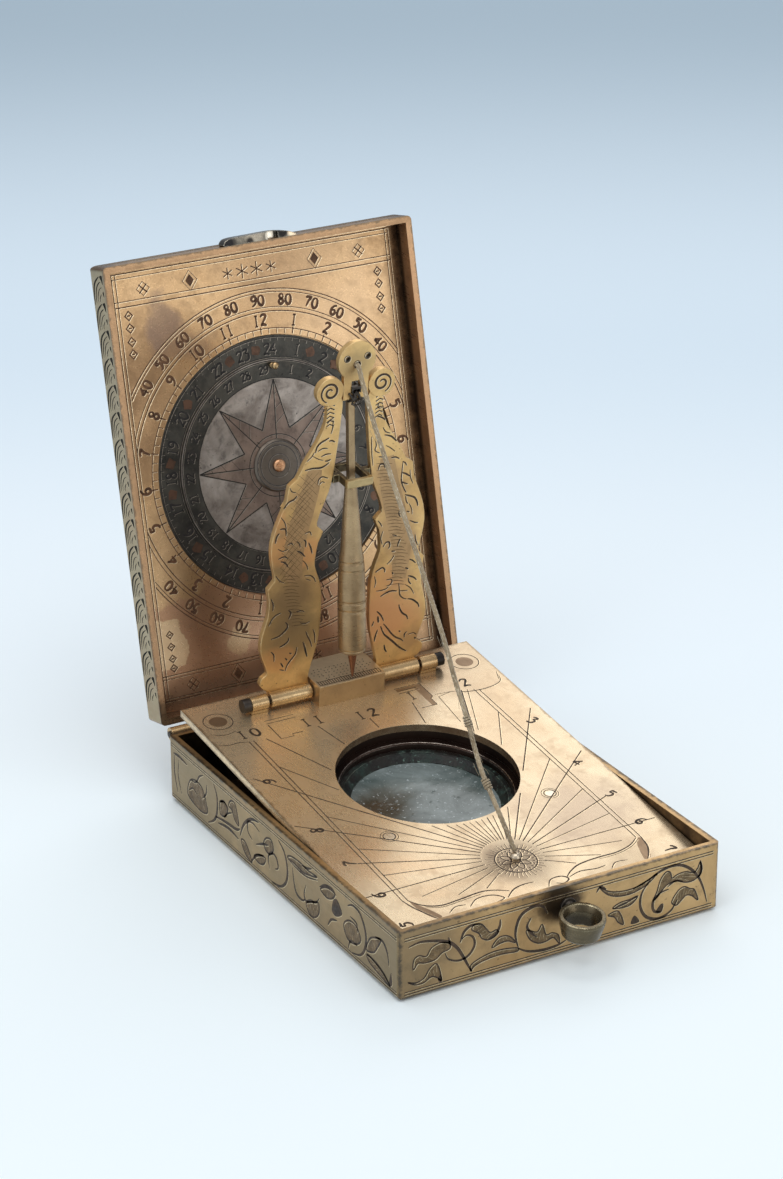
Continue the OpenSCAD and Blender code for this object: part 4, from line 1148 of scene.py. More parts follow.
def drawDialFigures(lines, plan):
    # two rounds of twelve hours, and degrees from the top and the bottom as far as the sides allow
    cx, cy = plan["centre"]
    for hour in range(24):
        a = 90 - 15 * hour
        number = 12 if hour % 12 == 0 else hour % 12
        place = atPolar(cx, cy, plan["hourRadius"], a)
        writeFigures(lines, str(number), place, height=2.1, turn=a - 90, width=0.42, gap=0.7)
    for k in range(-5, 6):
        a = 90 - 10.5 * k
        if abs(atPolar(cx, cy, plan["bandRadius"], a).x) > plan["sideX"] - 1:
            continue
        for turn in (a, -a):
            place = atPolar(cx, cy, plan["bandRadius"], turn)
            degrees = str(90 - 10 * abs(k))
            writeFigures(lines, degrees, place, height=1.9, turn=turn - 90, width=0.42, gap=0.78)


def drawDialBorders(lines, plan):
    left, right = plan["acrossEnds"]
    for y, width in plan["across"]:
        lines.line([(left, y), (right, y)], width)
    low, high = plan["uprightEnds"]
    for x in plan["upright"]:
        lines.line([(x, low), (x, high)], 0.13)
    # painted shadow at the foot of the left and top walls
    lines.line(plan["corner"], 0.24)


def drawDialSigns(lines, plan):
    # crosses, lozenges and stars in the rows at the top and bottom, small lozenges down the sides
    for y in plan["signRows"]:
        for x in plan["crosses"]:
            for k in range(4):
                lines.tick(x, y, 0, 1.15, 45 + 90 * k, 0.36, 0.5)
            lines.line(lozenge(x, y, 1.3, 1.3), 0.14, closed=True)
        for x in plan["lozenges"]:
            lines.fill(lozenge(x, y, 0.9, 1.2), soft=False)
            lines.line(lozenge(x, y, 1.5, 1.9), 0.12, closed=True)
        for x, reach in plan["stars"]:
            for k in range(6):
                lines.tick(x, y, 0, reach, 90 + 60 * k, 0.42, 0.6)
    for x in plan["sideColumns"]:
        for wide, high, width, places in plan["sideSigns"]:
            for y in places:
                lines.line(lozenge(x, y, wide, high), width, closed=True)
                lines.line([(x - 0.35, y), (x + 0.35, y)], 0.2)


def drawDial(plan):
    lines = Drawing("dial", weight=1.4)
    drawDialRings(lines, plan)
    drawDialFigures(lines, plan)
    drawDialBorders(lines, plan)
    drawDialSigns(lines, plan)
    lines.finish("dialLines", "lid", "cutBrown", "paintedGlint")


drawDial(dialPlan)
print("lid dial done")

# Hour disc and star disc: figures, patches and the eight-rayed star
discPlan = {
    "hourRings": [(24.1, 120), (20.35, 110)],
    "hourTicks": (23.45, 24.1),
    "hourRadius": 21.9,
    "hourTurn": 86.5,
    "patchRadius": 22.1,
    "reddish": (1, 2, 4, 5, 7, 9, 10, 12, 13, 15, 17, 18, 20, 22, 23),
    "band": (18.15, 3.3),
    "bandRadius": 18.2,
    "rays": 8,
    "tip": 16.3,
    "valley": 7.4,
    "root": 5.1,
    "starRings": [(19.75, 0.15, 110), (16.5, 0.15, 110), (5.9, 0.12, 60)],
    "bossRings": [(4.55, 0.13), (3.85, 0.16), (2.2, 0.1)],
    "moonDays": 29.5,
}


def drawHourDisc(plan):
    lines = Drawing("hourDisc", 0.01)
    for radius, steps in plan["hourRings"]:
        lines.circle(0, 0, radius, 0.12, steps)
    for k in range(96):
        lines.tick(0, 0, *plan["hourTicks"], 360 * k / 96, 0.1)
    for hour in range(1, 25):
        a = plan["hourTurn"] - 15 * hour
        place = atPolar(0, 0, plan["hourRadius"], a)
        writeFigures(lines, str(hour), place, height=2.1, turn=a - 90, width=0.36, gap=0.64)
    lines.finish("hourDiscLines", "hour_disc", "cutBlack", "discGlint")
    red = Drawing("hourDisc", 0.005)
    for hour in plan["reddish"]:
        a = plan["hourTurn"] - 15 * (hour + 0.5)
        x, y = atPolar(0, 0, plan["patchRadius"], a)
        red.fill([atPolar(x, y, 0.95 + 0.25 * math.sin(3 * k + hour), a + 40 * k) for k in range(9)])
    red.finish("hourDiscPatches", "hour_disc", "patchBronze")


def drawStarDisc(plan):
    band = Drawing("starDisc", 0.004, 1)
    band.circle(0, 0, *plan["band"], 120)
    band.finish("starBand", "star_disc", "discDark")
    rays = Drawing("starDisc", 0.006)
    marks = Drawing("starDisc")
    half = 180 / plan["rays"]
    for k in range(plan["rays"]):
        a = 90 + 2 * half * k
        tip = atPolar(0, 0, plan["tip"], a)
        left, right = [atPolar(0, 0, plan["valley"], a + turn) for turn in (half, -half)]
        rootLeft, root, rootRight = [atPolar(0, 0, plan["root"], a + turn) for turn in (half, 0, -half)]
        rays.fill([tip, left, rootLeft, root, rootRight, right], soft=False)
        marks.line([tip, left], 0.17)
        marks.line([tip, right], 0.17)
        marks.line([tip, root], 0.15)
        for share in (0.25, 0.5, 0.75):
            marks.line([root.lerp(tip, share), right.lerp(tip, share * 0.9 + 0.08)], 0.06)
    rays.finish("starRays", "star_disc", "rayBronze")
    for radius, width, steps in plan["starRings"]:
        marks.circle(0, 0, radius, width, steps)
    for number in range(1, 30):
        a = 90 - 360 * number / plan["moonDays"]
        place = atPolar(0, 0, plan["bandRadius"], a)
        writeFigures(marks, str(number), place, height=1.6, turn=a - 90, width=0.3, gap=0.66)
    marks.finish("starLines", "star_disc", "cutBlack", "discGlint")


def drawBoss(plan):
    boss = Drawing("boss")
    for radius, width in plan["bossRings"]:
        boss.circle(0, 0, radius, width, 60)
    boss.finish("bossLines", "lid", "cutGrey", "discGlint")


drawHourDisc(discPlan)
drawStarDisc(discPlan)
drawBoss(discPlan)
print("discs done")

# Plate: hour lines from the string's foot, borders, figures and corner marks
platePlan = {
    "foot": (-0.3, 13.8),
    "fullHours": [(0, 29.4), (20.9, 25.3), (39.7, 29.6), (54.9, 29)],
    "halfHours": [11.3, 30.5, 47.1, 61.8],
    "lowHours": [-10.5, -22.5, -35],
    "shortReach": [20.5, 15.5, 11],
    "steep": [(68.5, 56.2, 0.14), (74, 44, 0.11), (79.2, 53.2, 0.13), (84.6, 40, 0.1)],
    "halfEdge": {1: 22.9, -1: 23},
    "window": ((0, windowY), 17.3),
    "rose": (-0.3, 12.7),
    "roseRadii": {"petals": 2.8, "beads": (2.9, 3.4), "ring": 3.7, "rays": (3.75, 4.9, 5.4)},
    "plug": (16.45, 28.5),
    "cornerRing": (26.2, 75),
    "borders": [(22.6, 65.5), (23.5, 65), (-23.3, 66.5), (-24.2, 66.5)],
    "borderFoot": 10,
    "rayStart": 5.6,
    "noon": (90, 50.6),
    "besideBlock": (67.3, 42, 56.4),
    "uprights": [("10", -23, 69), ("11", -10.4, 68), ("12", -0.1, 66), ("1", 10.7, 68.2), ("2", 22.2, 68.2)],
    "radials": [("3", 26.8, 51.3), ("4", 26.5, 35.2), ("5", 26.3, 23.8), ("6", 26.3, 14), ("7", 26, 4.3),
                ("9", -27, 53), ("8", -27, 35.5), ("7", -26.7, 24), ("6", -27, 13.6), ("5", -27, 4)],
    "scrolls": [
        ([(23.5, 10), (23, 7), (22, 5), (20.8, 3.4)], 0.2),
        ([(22.5, 9.8), (20.3, 8.3), (17, 7.4), (13, 7.4), (9, 7), (6.5, 5.8), (5, 4.6)], 0.22),
        ([(22.5, 9.2), (20.3, 7.8), (17, 6.9), (13, 6.9)], 0.1),
        ([(-23.3, 10), (-21.8, 7.8), (-19, 6.4), (-15, 6.6), (-11, 7), (-8.5, 6.5), (-6.2, 5.2)], 0.22),
        ([(-21.6, 7.2), (-19, 5.9), (-15, 6.1), (-11, 6.4)], 0.1),
        ([(-24.2, 10.4), (-23.4, 7.5), (-21.3, 3.2)], 0.2),
        ([(-14.6, 4), (-12.5, 5.5), (-9.6, 5.4), (-8, 3.8), (-9.8, 3.2)], 0.18),
        ([(-7.4, 3.6), (-5.4, 5.2), (-3.2, 5.8), (-1, 5.7)], 0.2),
        ([(-18.8, 3.8), (-17, 5), (-15, 4.8)], 0.15),
        ([(0.6, 3.4), (2, 5.1), (4.2, 5.2), (5, 4), (3.6, 3.2), (2.4, 3.8)], 0.2),
        ([(5.4, 4.4), (8, 5.1), (11, 4.6), (13, 4.8)], 0.18), ([(13.4, 3.4), (15, 4.8), (17.4, 4.6)], 0.15),
        ([(29.6, 68), (28.5, 65.8), (25, 64.8), (21, 65.2), (19, 66.3), (15, 66.8)], 0.15),
        ([(29.9, 69.4), (28.9, 66.8)], 0.1),
        ([(-30, 67.6), (-28, 66.9), (-26, 66.9), (-24.2, 66.4)], 0.15),
        ([(-29.6, 71.5), (-27, 70.3), (-24.6, 70.8)], 0.12)],
    "rearLines": [
        ([(-18.5, 70.6), (-12.5, 70.6)], 0.1), ([(-18.5, 71.6), (-12.5, 71.6)], 0.1),
        ([(8.9, 71.6), (14.3, 71.6), (14.3, 66.5), (13.6, 66), (13.6, 63.6), (10.3, 63.6)], 0.13),
        ([(14.4, 56.4), (15.2, 65.8), (18, 66.4)], 0.1),
        ([(-18.4, 70.2), (-18.4, 64.9), (-15.8, 64.9), (-15.8, 65.6), (-13.6, 65.6)], 0.13),
        ([(9, 69.8), (13.2, 69.8), (13.2, 70.6), (9.6, 70.6)], 0.12)],
    "rearShade": [(9, 71.5), (14.2, 71.5), (14.2, 66.5), (13.5, 66), (13.5, 63.7), (12.6, 63.7),
                  (12.6, 70.4), (9, 70.4)],
    "frontShades": [
        [(22.8, 9.6), (21.5, 7.8), (20.8, 5.5), (20.2, 3.5), (21.6, 3.7), (22.9, 6.5), (23.4, 9)],
        [(-23.2, 9.6), (-22, 7.4), (-21, 5.4), (-20.4, 3.5), (-21.8, 3.6), (-23, 6.5)]],
}


def outsideCircle(start, end, centre, radius):
    # the parts of a straight line that stay clear of a round hole
    start, end, centre = Vector(start), Vector(end), Vector(centre)
    along = end - start
    a = along.dot(along)
    b = 2 * along.dot(start - centre)
    root = b * b - 4 * a * ((start - centre).length_squared - radius * radius)
    if root <= 0:
        return [(start, end)]
    first = (-b - math.sqrt(root)) / (2 * a)
    last = (-b + math.sqrt(root)) / (2 * a)
    parts = []
    if first > 0:
        parts.append((start, start + along * min(first, 1)))
    if last < 1:
        parts.append((start + along * max(last, 0), end))
    return [part for part in parts if (part[1] - part[0]).length > 0.5]


def drawHourLines(lines, plan):
    # the fan of hour lines, cut off at the round window
    foot = plan["foot"]
    centre, radius = plan["window"]

    def ray(angle, side, reach, width, start=plan["rayStart"]):
        a = angle if side > 0 else 180 - angle
        ends = [atPolar(*foot, r, a) for r in (start, reach)]
        for part in outsideCircle(*ends, centre, radius):
            lines.line(part, width)

    for side in (1, -1):
        for angle, endX in plan["fullHours"]:
            ray(angle, side, endX / math.cos(math.radians(angle)), 0.15)
        for angle in plan["halfHours"]:
            ray(angle, side, plan["halfEdge"][side] / math.cos(math.radians(angle)), 0.12)
        for angle, reach in zip(plan["lowHours"], plan["shortReach"]):
            ray(angle, side, reach, 0.12)
        for angle, reach, width in plan["steep"]:
            ray(angle, side, reach, width)
    noon, reach = plan["noon"]
    ray(noon, 1, reach, 0.12)
    angle, start, reach = plan["besideBlock"]
    ray(angle, 1, reach, 0.1, start)


def drawRounds(lines, plan):
    # the rose at the string's foot, the rings round the plugs and the corner rings
    x, y = plan["rose"]
    radii = plan["roseRadii"]
    inner, short, long = radii["rays"]
    for k in range(40):
        lines.tick(x, y, inner, long if k % 2 else short, 9 * k, 0.13, 0.5)
    for k in range(24):
        lines.tick(x, y, *radii["beads"], 15 * k + 4, 0.13)
    rosette(lines, x, y, radii["petals"], 8)
    lines.circle(x, y, radii["ring"], 0.17, 40)
    x, y = plan["plug"]
    for side in (1, -1):
        lines.circle(x * side, y, 1.12, 0.12, 20)
        lines.circle(x * side, y, 1.6, 0.08, 20)
    x, y = plan["cornerRing"]
    for side in (1, -1):
        lines.circle(x * side, y, 2.75, 0.13, 40)


def drawPlate(plan):
    lines = Drawing("plateTop", weight=1.6)
    drawHourLines(lines, plan)
    drawRounds(lines, plan)
    for x, top in plan["borders"]:
        lines.line([(x, top), (x, plan["borderFoot"])], 0.12)
    for points, width in plan["scrolls"]:
        lines.curve(points, width, taper=0.5)
    for points, width in plan["rearLines"]:
        lines.line(points, width)
    for text, x, y in plan["uprights"]:
        writeFigures(lines, text, (x, y), height=2.6, turn=0, width=0.34, gap=1.0)
    for text, x, y in plan["radials"]:
        writeFigures(lines, text, (x, y), height=2.2, turn=-72 if x > 0 else 72, width=0.32)
    lines.finish("plateLines", "plate", "cutDark", "paintedGlint")


def drawPlateShades(plan):
    shades = Drawing("plateTop", 0.004)
    shades.fill(plan["rearShade"], soft=False)
    for points in plan["frontShades"]:
        shades.fill(points)
    x, y = plan["cornerRing"]
    for side in (1, -1):
        shades.fill([atPolar(x * side, y, 1.7, 20 * k) for k in range(18)])
    shades.finish("plateShades", "plate", "plateShade")


drawPlate(platePlan)
drawPlateShades(platePlan)
print("plate done")

# Dolphins: fins, eyes and mouths drawn after the photograph, and scales along the bodies
dolphinPlan = {
    "left": [
        (0.36, [(-7.7, 49), (-7.4, 50.1), (-6.7, 50.8), (-5.7, 51.2), (-5, 51.5)]),
        (0.3, [(-5, 50.8), (-4.4, 50.8), (-3.8, 50.4)]), (0.26, [(-6.5, 48), (-5.5, 48.3), (-4.5, 48.2)]),
        (0.3, [(-5.7, 47), (-5.1, 46.9), (-4.5, 47.1)]), (0.16, [(-8.4, 48.6), (-7, 47.6), (-6, 47.2)]),
        (0.36, [(-9.7, 45.9), (-8.2, 46), (-6.7, 45.8), (-5.7, 46), (-4.8, 46.5)]),
        (0.28, [(-6.9, 42.5), (-6.8, 43.4), (-6.1, 43.9), (-4.9, 43.4)]),
        (0.2, [(-6.6, 42.4), (-6.1, 42.9), (-5.5, 42.6)]),
        (0.34, [(-13.7, 39), (-12.8, 40.1), (-11.7, 40.5), (-11.1, 41.1)]),
        (0.34, [(-15.2, 32.3), (-14.9, 33.6), (-14.4, 34.2)]),
        (0.3, [(-14.3, 35), (-13.2, 34.8), (-13, 33.4)]),
        (0.24, [(-12.7, 31.4), (-11.9, 31.7), (-11.5, 31.2)]),
        (0.2, [(-14.6, 31.1), (-13.6, 30.4), (-12.4, 30.6)]),
        (0.3, [(-9.3, 31.8), (-8.9, 31.3), (-8.9, 30.2)]), (0.32, [(-10.6, 29.8), (-9.7, 29.2), (-9, 28.3)]),
        (0.3, [(-8.3, 31), (-7.8, 29.8), (-7.5, 28.6)]), (0.22, [(-10.8, 31.8), (-10.2, 31.2), (-10, 30.3)]),
        (0.26, [(-14.4, 28.9), (-13.3, 29.2), (-12.5, 28.7)]),
        (0.3, [(-13.9, 28.3), (-13, 27.9), (-12.3, 26.9)]),
        (0.24, [(-8.9, 24.3), (-7.7, 24.1), (-6.9, 23.4), (-6.5, 22.5)]), (0.16, [(-8.6, 23.6), (-7.5, 23)]),
        (0.28, [(-15.9, 15.4), (-15.3, 16.6), (-14.5, 17.3), (-13.5, 17.6)]),
        (0.32, [(-11.9, 17.8), (-11.4, 17.2), (-11.5, 16.6), (-11.8, 15.9)]),
        (0.34, [(-12.4, 15.4), (-12, 14.8), (-12.1, 14), (-13.1, 13.1), (-13.9, 12.7), (-15.3, 12.5)]),
        (0.3, [(-11.6, 12), (-11.8, 11.2), (-12.8, 10.6), (-13.5, 10.4)]),
        (0.24, [(-10.3, 17.1), (-9.3, 17.1), (-8.6, 16.8)]),
        (0.3, [(-9.8, 9.6), (-10.1, 8.2), (-10.9, 7.2), (-11.7, 6.2), (-12.1, 5)]),
        (0.26, [(-8.1, 12.5), (-7.7, 11.4), (-7.1, 10.2), (-6.7, 8.9)]),
        (0.36, [(-8.6, 10.4), (-8.2, 9.2), (-7.9, 8), (-7.6, 7)]),
        (0.3, [(-13.1, 7), (-12.5, 5.9)]), (0.26, [(-12.2, 7.8), (-11.7, 7.2)]),
        (0.26, [(-11.4, 8.7), (-10.9, 8.4)]),
        (0.22, [(-13.3, 5.6), (-12.3, 5.2)]), (0.24, [(-15.2, 9.8), (-14.6, 9), (-14.5, 7.6)]),
        (0.26, [(-5.5, 54.3), (-5, 55), (-4.4, 55.2)]), (0.22, [(-4.4, 55), (-4.4, 53.4), (-4.7, 52.2)]),
        (0.22, [(-9.4, 47.6), (-8.4, 48.4), (-7.9, 49.2)]),
        (0.22, [(-7.2, 49.2), (-6.2, 49.6), (-5.2, 49.4)]),
        (0.2, [(-12.6, 43), (-12.2, 42.2), (-11.4, 41.8)]),
        (0.2, [(-14.2, 37.4), (-13.4, 36.2), (-13, 34.8)]),
        (0.24, [(-9.2, 33), (-8.2, 33.2), (-7.8, 32.4)]), (0.2, [(-9.4, 27.6), (-8.6, 26.6), (-8.2, 25.4)]),
        (0.2, [(-14.8, 25.6), (-14, 24.4), (-13, 23.8)]), (0.24, [(-15.6, 21), (-15.1, 19.6), (-15.2, 18.4)]),
        (0.2, [(-9.4, 14.6), (-8.4, 14.2), (-7.4, 14.4)]), (0.22, [(-6.6, 12.6), (-6.2, 11.2), (-6.1, 9.6)]),
    ],
    "right": [
        (0.24, [(3.6, 59.4), (4.5, 58.9), (5, 58.4)]), (0.24, [(4.9, 56.5), (4.7, 55.7), (5.3, 55.3)]),
        (0.3, [(4.7, 53.9), (5.7, 53.4), (6.4, 52.8)]),
        (0.34, [(6.4, 49.8), (7.7, 49.3), (8.5, 48.6), (9, 48)]),
        (0.24, [(4.6, 49), (4.8, 48), (4.6, 47), (5.6, 46.3)]), (0.22, [(5.4, 45.6), (6.4, 45.3)]),
        (0.28, [(8, 44.8), (9, 44.8), (9.8, 44.3)]),
        (0.3, [(5.5, 42.9), (5.8, 43.9), (6.6, 43.8), (6.9, 43)]),
        (0.26, [(10.5, 43.6), (11.1, 43.2), (11.4, 42.6)]),
        (0.34, [(10.6, 41.3), (11.4, 40.9), (12.3, 40.2)]),
        (0.28, [(10.5, 39.5), (11.3, 39), (11.9, 38.7)]),
        (0.36, [(11.4, 36.6), (12.4, 36.2), (13.5, 35.6), (14.1, 34.6), (14.3, 33.7)]),
        (0.26, [(11.6, 36.3), (11.8, 35.2), (12.2, 34.6)]), (0.24, [(12, 33.1), (12.6, 32.8)]),
        (0.26, [(12.8, 31), (13.8, 30.4), (14.6, 30.2)]), (0.22, [(6, 32.4), (6.6, 31.6), (6.9, 31)]),
        (0.32, [(7.4, 26.6), (7.9, 27.4), (8.6, 27.4), (8.8, 26.6), (8.5, 26)]),
        (0.26, [(9.2, 28.8), (10.2, 28.4)]), (0.3, [(11, 27.6), (10.6, 26.8), (10.5, 26)]),
        (0.24, [(9.2, 25.3), (10, 25.2)]), (0.32, [(6, 21.6), (6.7, 22), (7.5, 22.3), (8, 21.8), (8, 21.2)]),
        (0.28, [(13.2, 22.8), (13.9, 22.4), (14.6, 21.7)]), (0.3, [(12.4, 21.2), (13.1, 20.8)]),
        (0.32, [(13.1, 19.3), (13.7, 19.1), (14.5, 18.6), (15, 18)]),
        (0.28, [(13.2, 18.9), (13.4, 18), (13.9, 17.4)]),
        (0.26, [(8.5, 19.5), (9.5, 19.4), (9.7, 18.8), (9.2, 18.2), (8.6, 18.2)]),
        (0.22, [(6.4, 17.6), (7.5, 17.5), (8.5, 17.6), (9, 17.9)]),
        (0.34, [(7.4, 16.2), (8.5, 16.7), (9.7, 16.9), (10.9, 16.6)]), (0.2, [(11.5, 16.5), (13.2, 16.2)]),
        (0.26, [(11.2, 18.2), (11.4, 16.8), (11.6, 15.6), (12.3, 14.8), (13.1, 14.4)]),
        (0.34, [(13.3, 14.4), (14.2, 14.1), (15.1, 13.4), (15.7, 12.7), (15.9, 12)]),
        (0.34, [(11.5, 13.6), (11.7, 12.8), (12.2, 11.8), (12.8, 11.2), (13.3, 10.8), (13.6, 10)]),
        (0.3, [(6.8, 13.2), (7.4, 12.6), (7.9, 11.9), (8.4, 10.8)]), (0.42, [(7.1, 12.1), (7.3, 10.7)]),
        (0.24, [(6.3, 11.2), (5.9, 10.2)]),
        (0.38, [(7.8, 9.8), (8.6, 8), (9.5, 7), (10.7, 5.8), (11.7, 4.7), (12.7, 3.8), (13.7, 3.1)]),
        (0.32, [(8.4, 10.2), (9.3, 9), (10.3, 7.6), (11.3, 6.6), (12.3, 6), (12.9, 5.4)]),
        (0.26, [(13.1, 6.1), (13.1, 6.9), (13.6, 7.3)]), (0.3, [(7.2, 9.2), (6.8, 8), (6.6, 6.8)]),
        (0.32, [(8.8, 5.6), (9, 4.6), (9.4, 3.9)]), (0.3, [(11.8, 7.9), (12.2, 7.6)]),
        (0.2, [(13.9, 6.6), (15, 6.7), (15.7, 6.2)]), (0.34, [(15.3, 5.7), (15.6, 5.3)]),
        (0.26, [(10.6, 43.4), (10.5, 41.4), (10.5, 39.6), (11.2, 37.8), (11.7, 37)]),
        (0.28, [(10.4, 33.5), (10.4, 32.8), (10.8, 32.1)]),
        (0.26, [(14.1, 27.8), (14.3, 26.6), (14.8, 25.4)]),
        (0.22, [(9.9, 24.4), (9.2, 23.4), (8.4, 22.8)]), (0.28, [(9.6, 20.9), (9.9, 20.4)]),
        (0.2, [(3.7, 50), (3.9, 47), (4.3, 44)]), (0.22, [(6, 51.4), (6.6, 50.4), (7.6, 49.9)]),
        (0.2, [(6.8, 47.6), (7.8, 46.9), (8.8, 46)]), (0.2, [(12.2, 41.6), (12.4, 40), (13, 38.6)]),
        (0.2, [(12.4, 34.6), (13, 33.4), (13.2, 32.2)]), (0.22, [(7.2, 30), (6.8, 28.6), (7.2, 27.2)]),
        (0.2, [(5.9, 20.8), (6.2, 19.6), (6, 18.4)]), (0.2, [(12.6, 17.6), (13.8, 16.6), (14.6, 15.2)]),
    ],
    "bodies": {
        "left": [(-7.6, 45.6), (-8.3, 42), (-9.4, 38), (-10.5, 34), (-11.2, 30), (-11.2, 26), (-10.6, 23.6)],
        "right": [(7.2, 45.2), (7.6, 42), (8.4, 38), (9.5, 34), (10.5, 30), (11.4, 26), (11.3, 22),
                  (11.2, 19)],
    },
    "bodyWidth": 3.3,
    "comb": {"lowest": 53.8, "count": 7, "pitch": 0.8},
    "spines": {
        "right": [(18, 10.8), (24, 11.2), (30, 9.9), (36, 8.6), (42, 6.8), (45, 6.6)],
        "left": [(14, -9.4), (20, -11.2), (26, -12), (32, -11.4), (38, -10.2), (45, -8.4)],
    },
    "scales": {"top": 44.5, "netFrom": 25, "bandPitch": 0.72, "netPitch": 1.5, "reach": 1.7},
    "volute": {"x": 5.22, "height": 60.5, "outer": 2.0, "inner": 0.4, "turns": 1.6},
}
supportFaces = [("supportFront", "Front", 1), ("supportBack", "Back", -1)]    # the back is drawn mirrored


def spineAt(spine, h):
    for (low, x), (high, nextX) in zip(spine, spine[1:]):
        if h <= high:
            return x + (nextX - x) * (h - low) / (high - low)
    return spine[-1][1]


def mirrored(points, flip):
    return [(x * flip, h) for x, h in points]


def drawScales(lines, plan, name, flip):
    # bowed bands across the right body, a crossed net over the left one and bands again low on it
    spine = plan["spines"][name]
    scales = plan["scales"]
    reach = scales["reach"]
    h = spine[0][0]
    k = 0
    while h < scales["top"]:
        x = spineAt(spine, h)
        banded = name == "right" or h < scales["netFrom"]
        if banded:
            start, end = x - reach + 0.3 * (k % 2), x + reach - 0.3 * (k % 3)
            band = [(start, h + 0.3), (x, h + 0.15), (end, h - 0.35)]
            lines.curve(mirrored(band, flip), 0.13, taper=0.5, steps=3)
        else:
            for start, end in ((-2, 1.1), (-0.6, 2.1), (2, -1.1), (0.6, -2.1)):
                lines.line(mirrored([(x + start, h + 1.5), (x + end, h - 1.5)], flip), 0.09, taper=0.3)
        h += scales["bandPitch"] if banded else scales["netPitch"]
        k += 1


def drawDolphin(plan, name, surface, ending, flip):
    way = flip if name == "right" else -flip
    lines = Drawing(surface, weight=1.1)
    for width, points in plan[name]:
        lines.curve(mirrored(points, flip), width, taper=0.5)
    for k in range(plan["comb"]["count"]):
        h = plan["comb"]["lowest"] + k * plan["comb"]["pitch"]
        lines.line(mirrored([(4.2, h - 0.1), (5.05, h + 0.35), (5.7, h)], way), 0.22)
    lines.finish(name + "Dolphin" + ending, "support", "cutDark", "paintedGlint")
    body = Drawing(surface, lineLift * 0.35)
    body.curve(mirrored(plan["bodies"][name], flip), plan["bodyWidth"], taper=0.35, steps=6)
    body.finish(name + "Body" + ending, "support", "bodyBrass")
    scales = Drawing(surface, lineLift * 0.7, 1.1)
    drawScales(scales, plan, name, flip)
    scales.finish(name + "Scales" + ending, "support", "leafShade")
    curl = plan["volute"]
    volute = Drawing(surface, lineLift + 0.1, 1.4)
    volute.line(spiral(curl["x"] * way, curl["height"], curl["outer"], curl["inner"], 90 - 160 * way,
                       curl["turns"] * way, 44), 0.34, taper=0.5)
    volute.finish(name + "Volute" + ending, "support", "cutDark", "paintedGlint")


for side in ("right", "left"):
    for face in supportFaces:
        drawDolphin(dolphinPlan, side, *face)

# Head: dark rims round the sights, and the iron wire that binds the bob's hook below the slot
headPlan = {
    "rims": [(-2.05, 66.35, 0.62), (2.05, 66.35, 0.62), (0, 65, 0.68)],
    "wire": {"radius": 0.25, "turns": 4, "start": (-1.35, 1.2, 58.7), "length": 2.1,
             "end": [(1.0, 0.3, 58.2), (0.7, 0, 57.5), (-0.3, 0, 57.2), (-1, 0.2, 57.7)]},
}


def drawHeadRims(plan):
    for surface, ending, flip in supportFaces:
        rims = Drawing(surface)
        for x, h, radius in plan["rims"]:
            rims.circle(x * flip, h, radius, 0.12, 20)
        rims.finish("headRims" + ending, "support", "cutDark", "paintedGlint")


def makeHookWire(wire):
    # an uneven coil along the hook's shank, with a loose end below it
    startX, depth, height = wire["start"]
    steps = 18 * wire["turns"]
    coil = []
    for k in range(steps + 1):
        a = 2 * math.pi * k / 18
        x = startX + wire["length"] * k / steps + 0.2 * math.sin(2.3 * a)
        wide = 1.0 + 0.16 * math.sin(2.7 * a)
        coil.append((x, depth + wide * math.cos(a), height + wide * math.sin(a)))
    path = [supportLocal @ Vector(p) for p in coil + wire["end"]]
    piece = meshObject("hookWire", *sweptTube(path, lambda i, a: wire["radius"], 6), "darkIron")
    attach(piece, "support")


drawHeadRims(headPlan)
makeHookWire(headPlan["wire"])

# Block between the dolphins: a rule along the front of its top and punched dots behind it
blockPlan = {
    "reach": 6.4,
    "rule": (-2.9, -1.6, -1.2),
    "marks": 27,
    "dots": {"rows": 5, "columns": 15, "start": (-6, -0.9), "pitch": (0.86, 0.85), "waver": (0.15, 0.12)},
}


def drawBlock(plan):
    lines = Drawing("blockTop")
    reach = plan["reach"]
    low, high, long = plan["rule"]
    for y in (low, high):
        lines.line([(-reach, y), (reach, y)], 0.12)
    for k in range(plan["marks"]):
        x = reach * (2 * k / (plan["marks"] - 1) - 1)
        lines.line([(x, low), (x, high if k % 5 else long)], 0.13)
    rng = random.Random(3)
    dots = plan["dots"]
    startX, startY = dots["start"]
    pitchX, pitchY = dots["pitch"]
    waverX, waverY = dots["waver"]
    for row in range(dots["rows"]):
        for k in range(dots["columns"]):
            x = startX + k * pitchX + rng.uniform(-waverX, waverX)
            y = startY + row * pitchY + rng.uniform(-waverY, waverY)
            if (x / reach) ** 2 + ((y - 1.5) / 4.4) ** 2 < 0.9:
                lines.line([(x, y), (x + 0.18, y + 0.12)], 0.17)
    lines.finish("blockLines", "support", "cutDark")


drawBlock(blockPlan)

# Card in the bowl
cardPlan = {"rings": [15.4, 14.6, 10.2], "points": 32, "longFrom": 3}


def drawCard(plan):
    lines = Drawing("bowlFloor")
    for radius in plan["rings"]:
        lines.circle(0, 0, radius, 0.14, 90)
    outer, inner = plan["rings"][1:]
    for k in range(plan["points"]):
        lines.tick(0, 0, inner if k % 4 else plan["longFrom"], outer, 360 * k / plan["points"], 0.12)
    lines.finish("cardLines", "plate", "cutDark")


drawCard(cardPlan)


def drawPlainFace(surface, body, x, low, high, radius):
    # a thin double border and a rosette in a ring
    lines = Drawing(surface)
    for inset, width in ((0, 0.16), (0.8, 0.1)):
        lines.line([(-x + inset, low + inset), (x - inset, low + inset), (x - inset, high - inset),
                    (-x + inset, high - inset)], width, closed=True)
    middle = (low + high) / 2
    for share in (1, 0.96, 0.3):
        lines.circle(0, middle, radius * share, 0.14, 110)
    rosette(lines, 0, middle, radius * 0.9, 12)
    lines.finish(surface + "Lines", body, "cutDark")


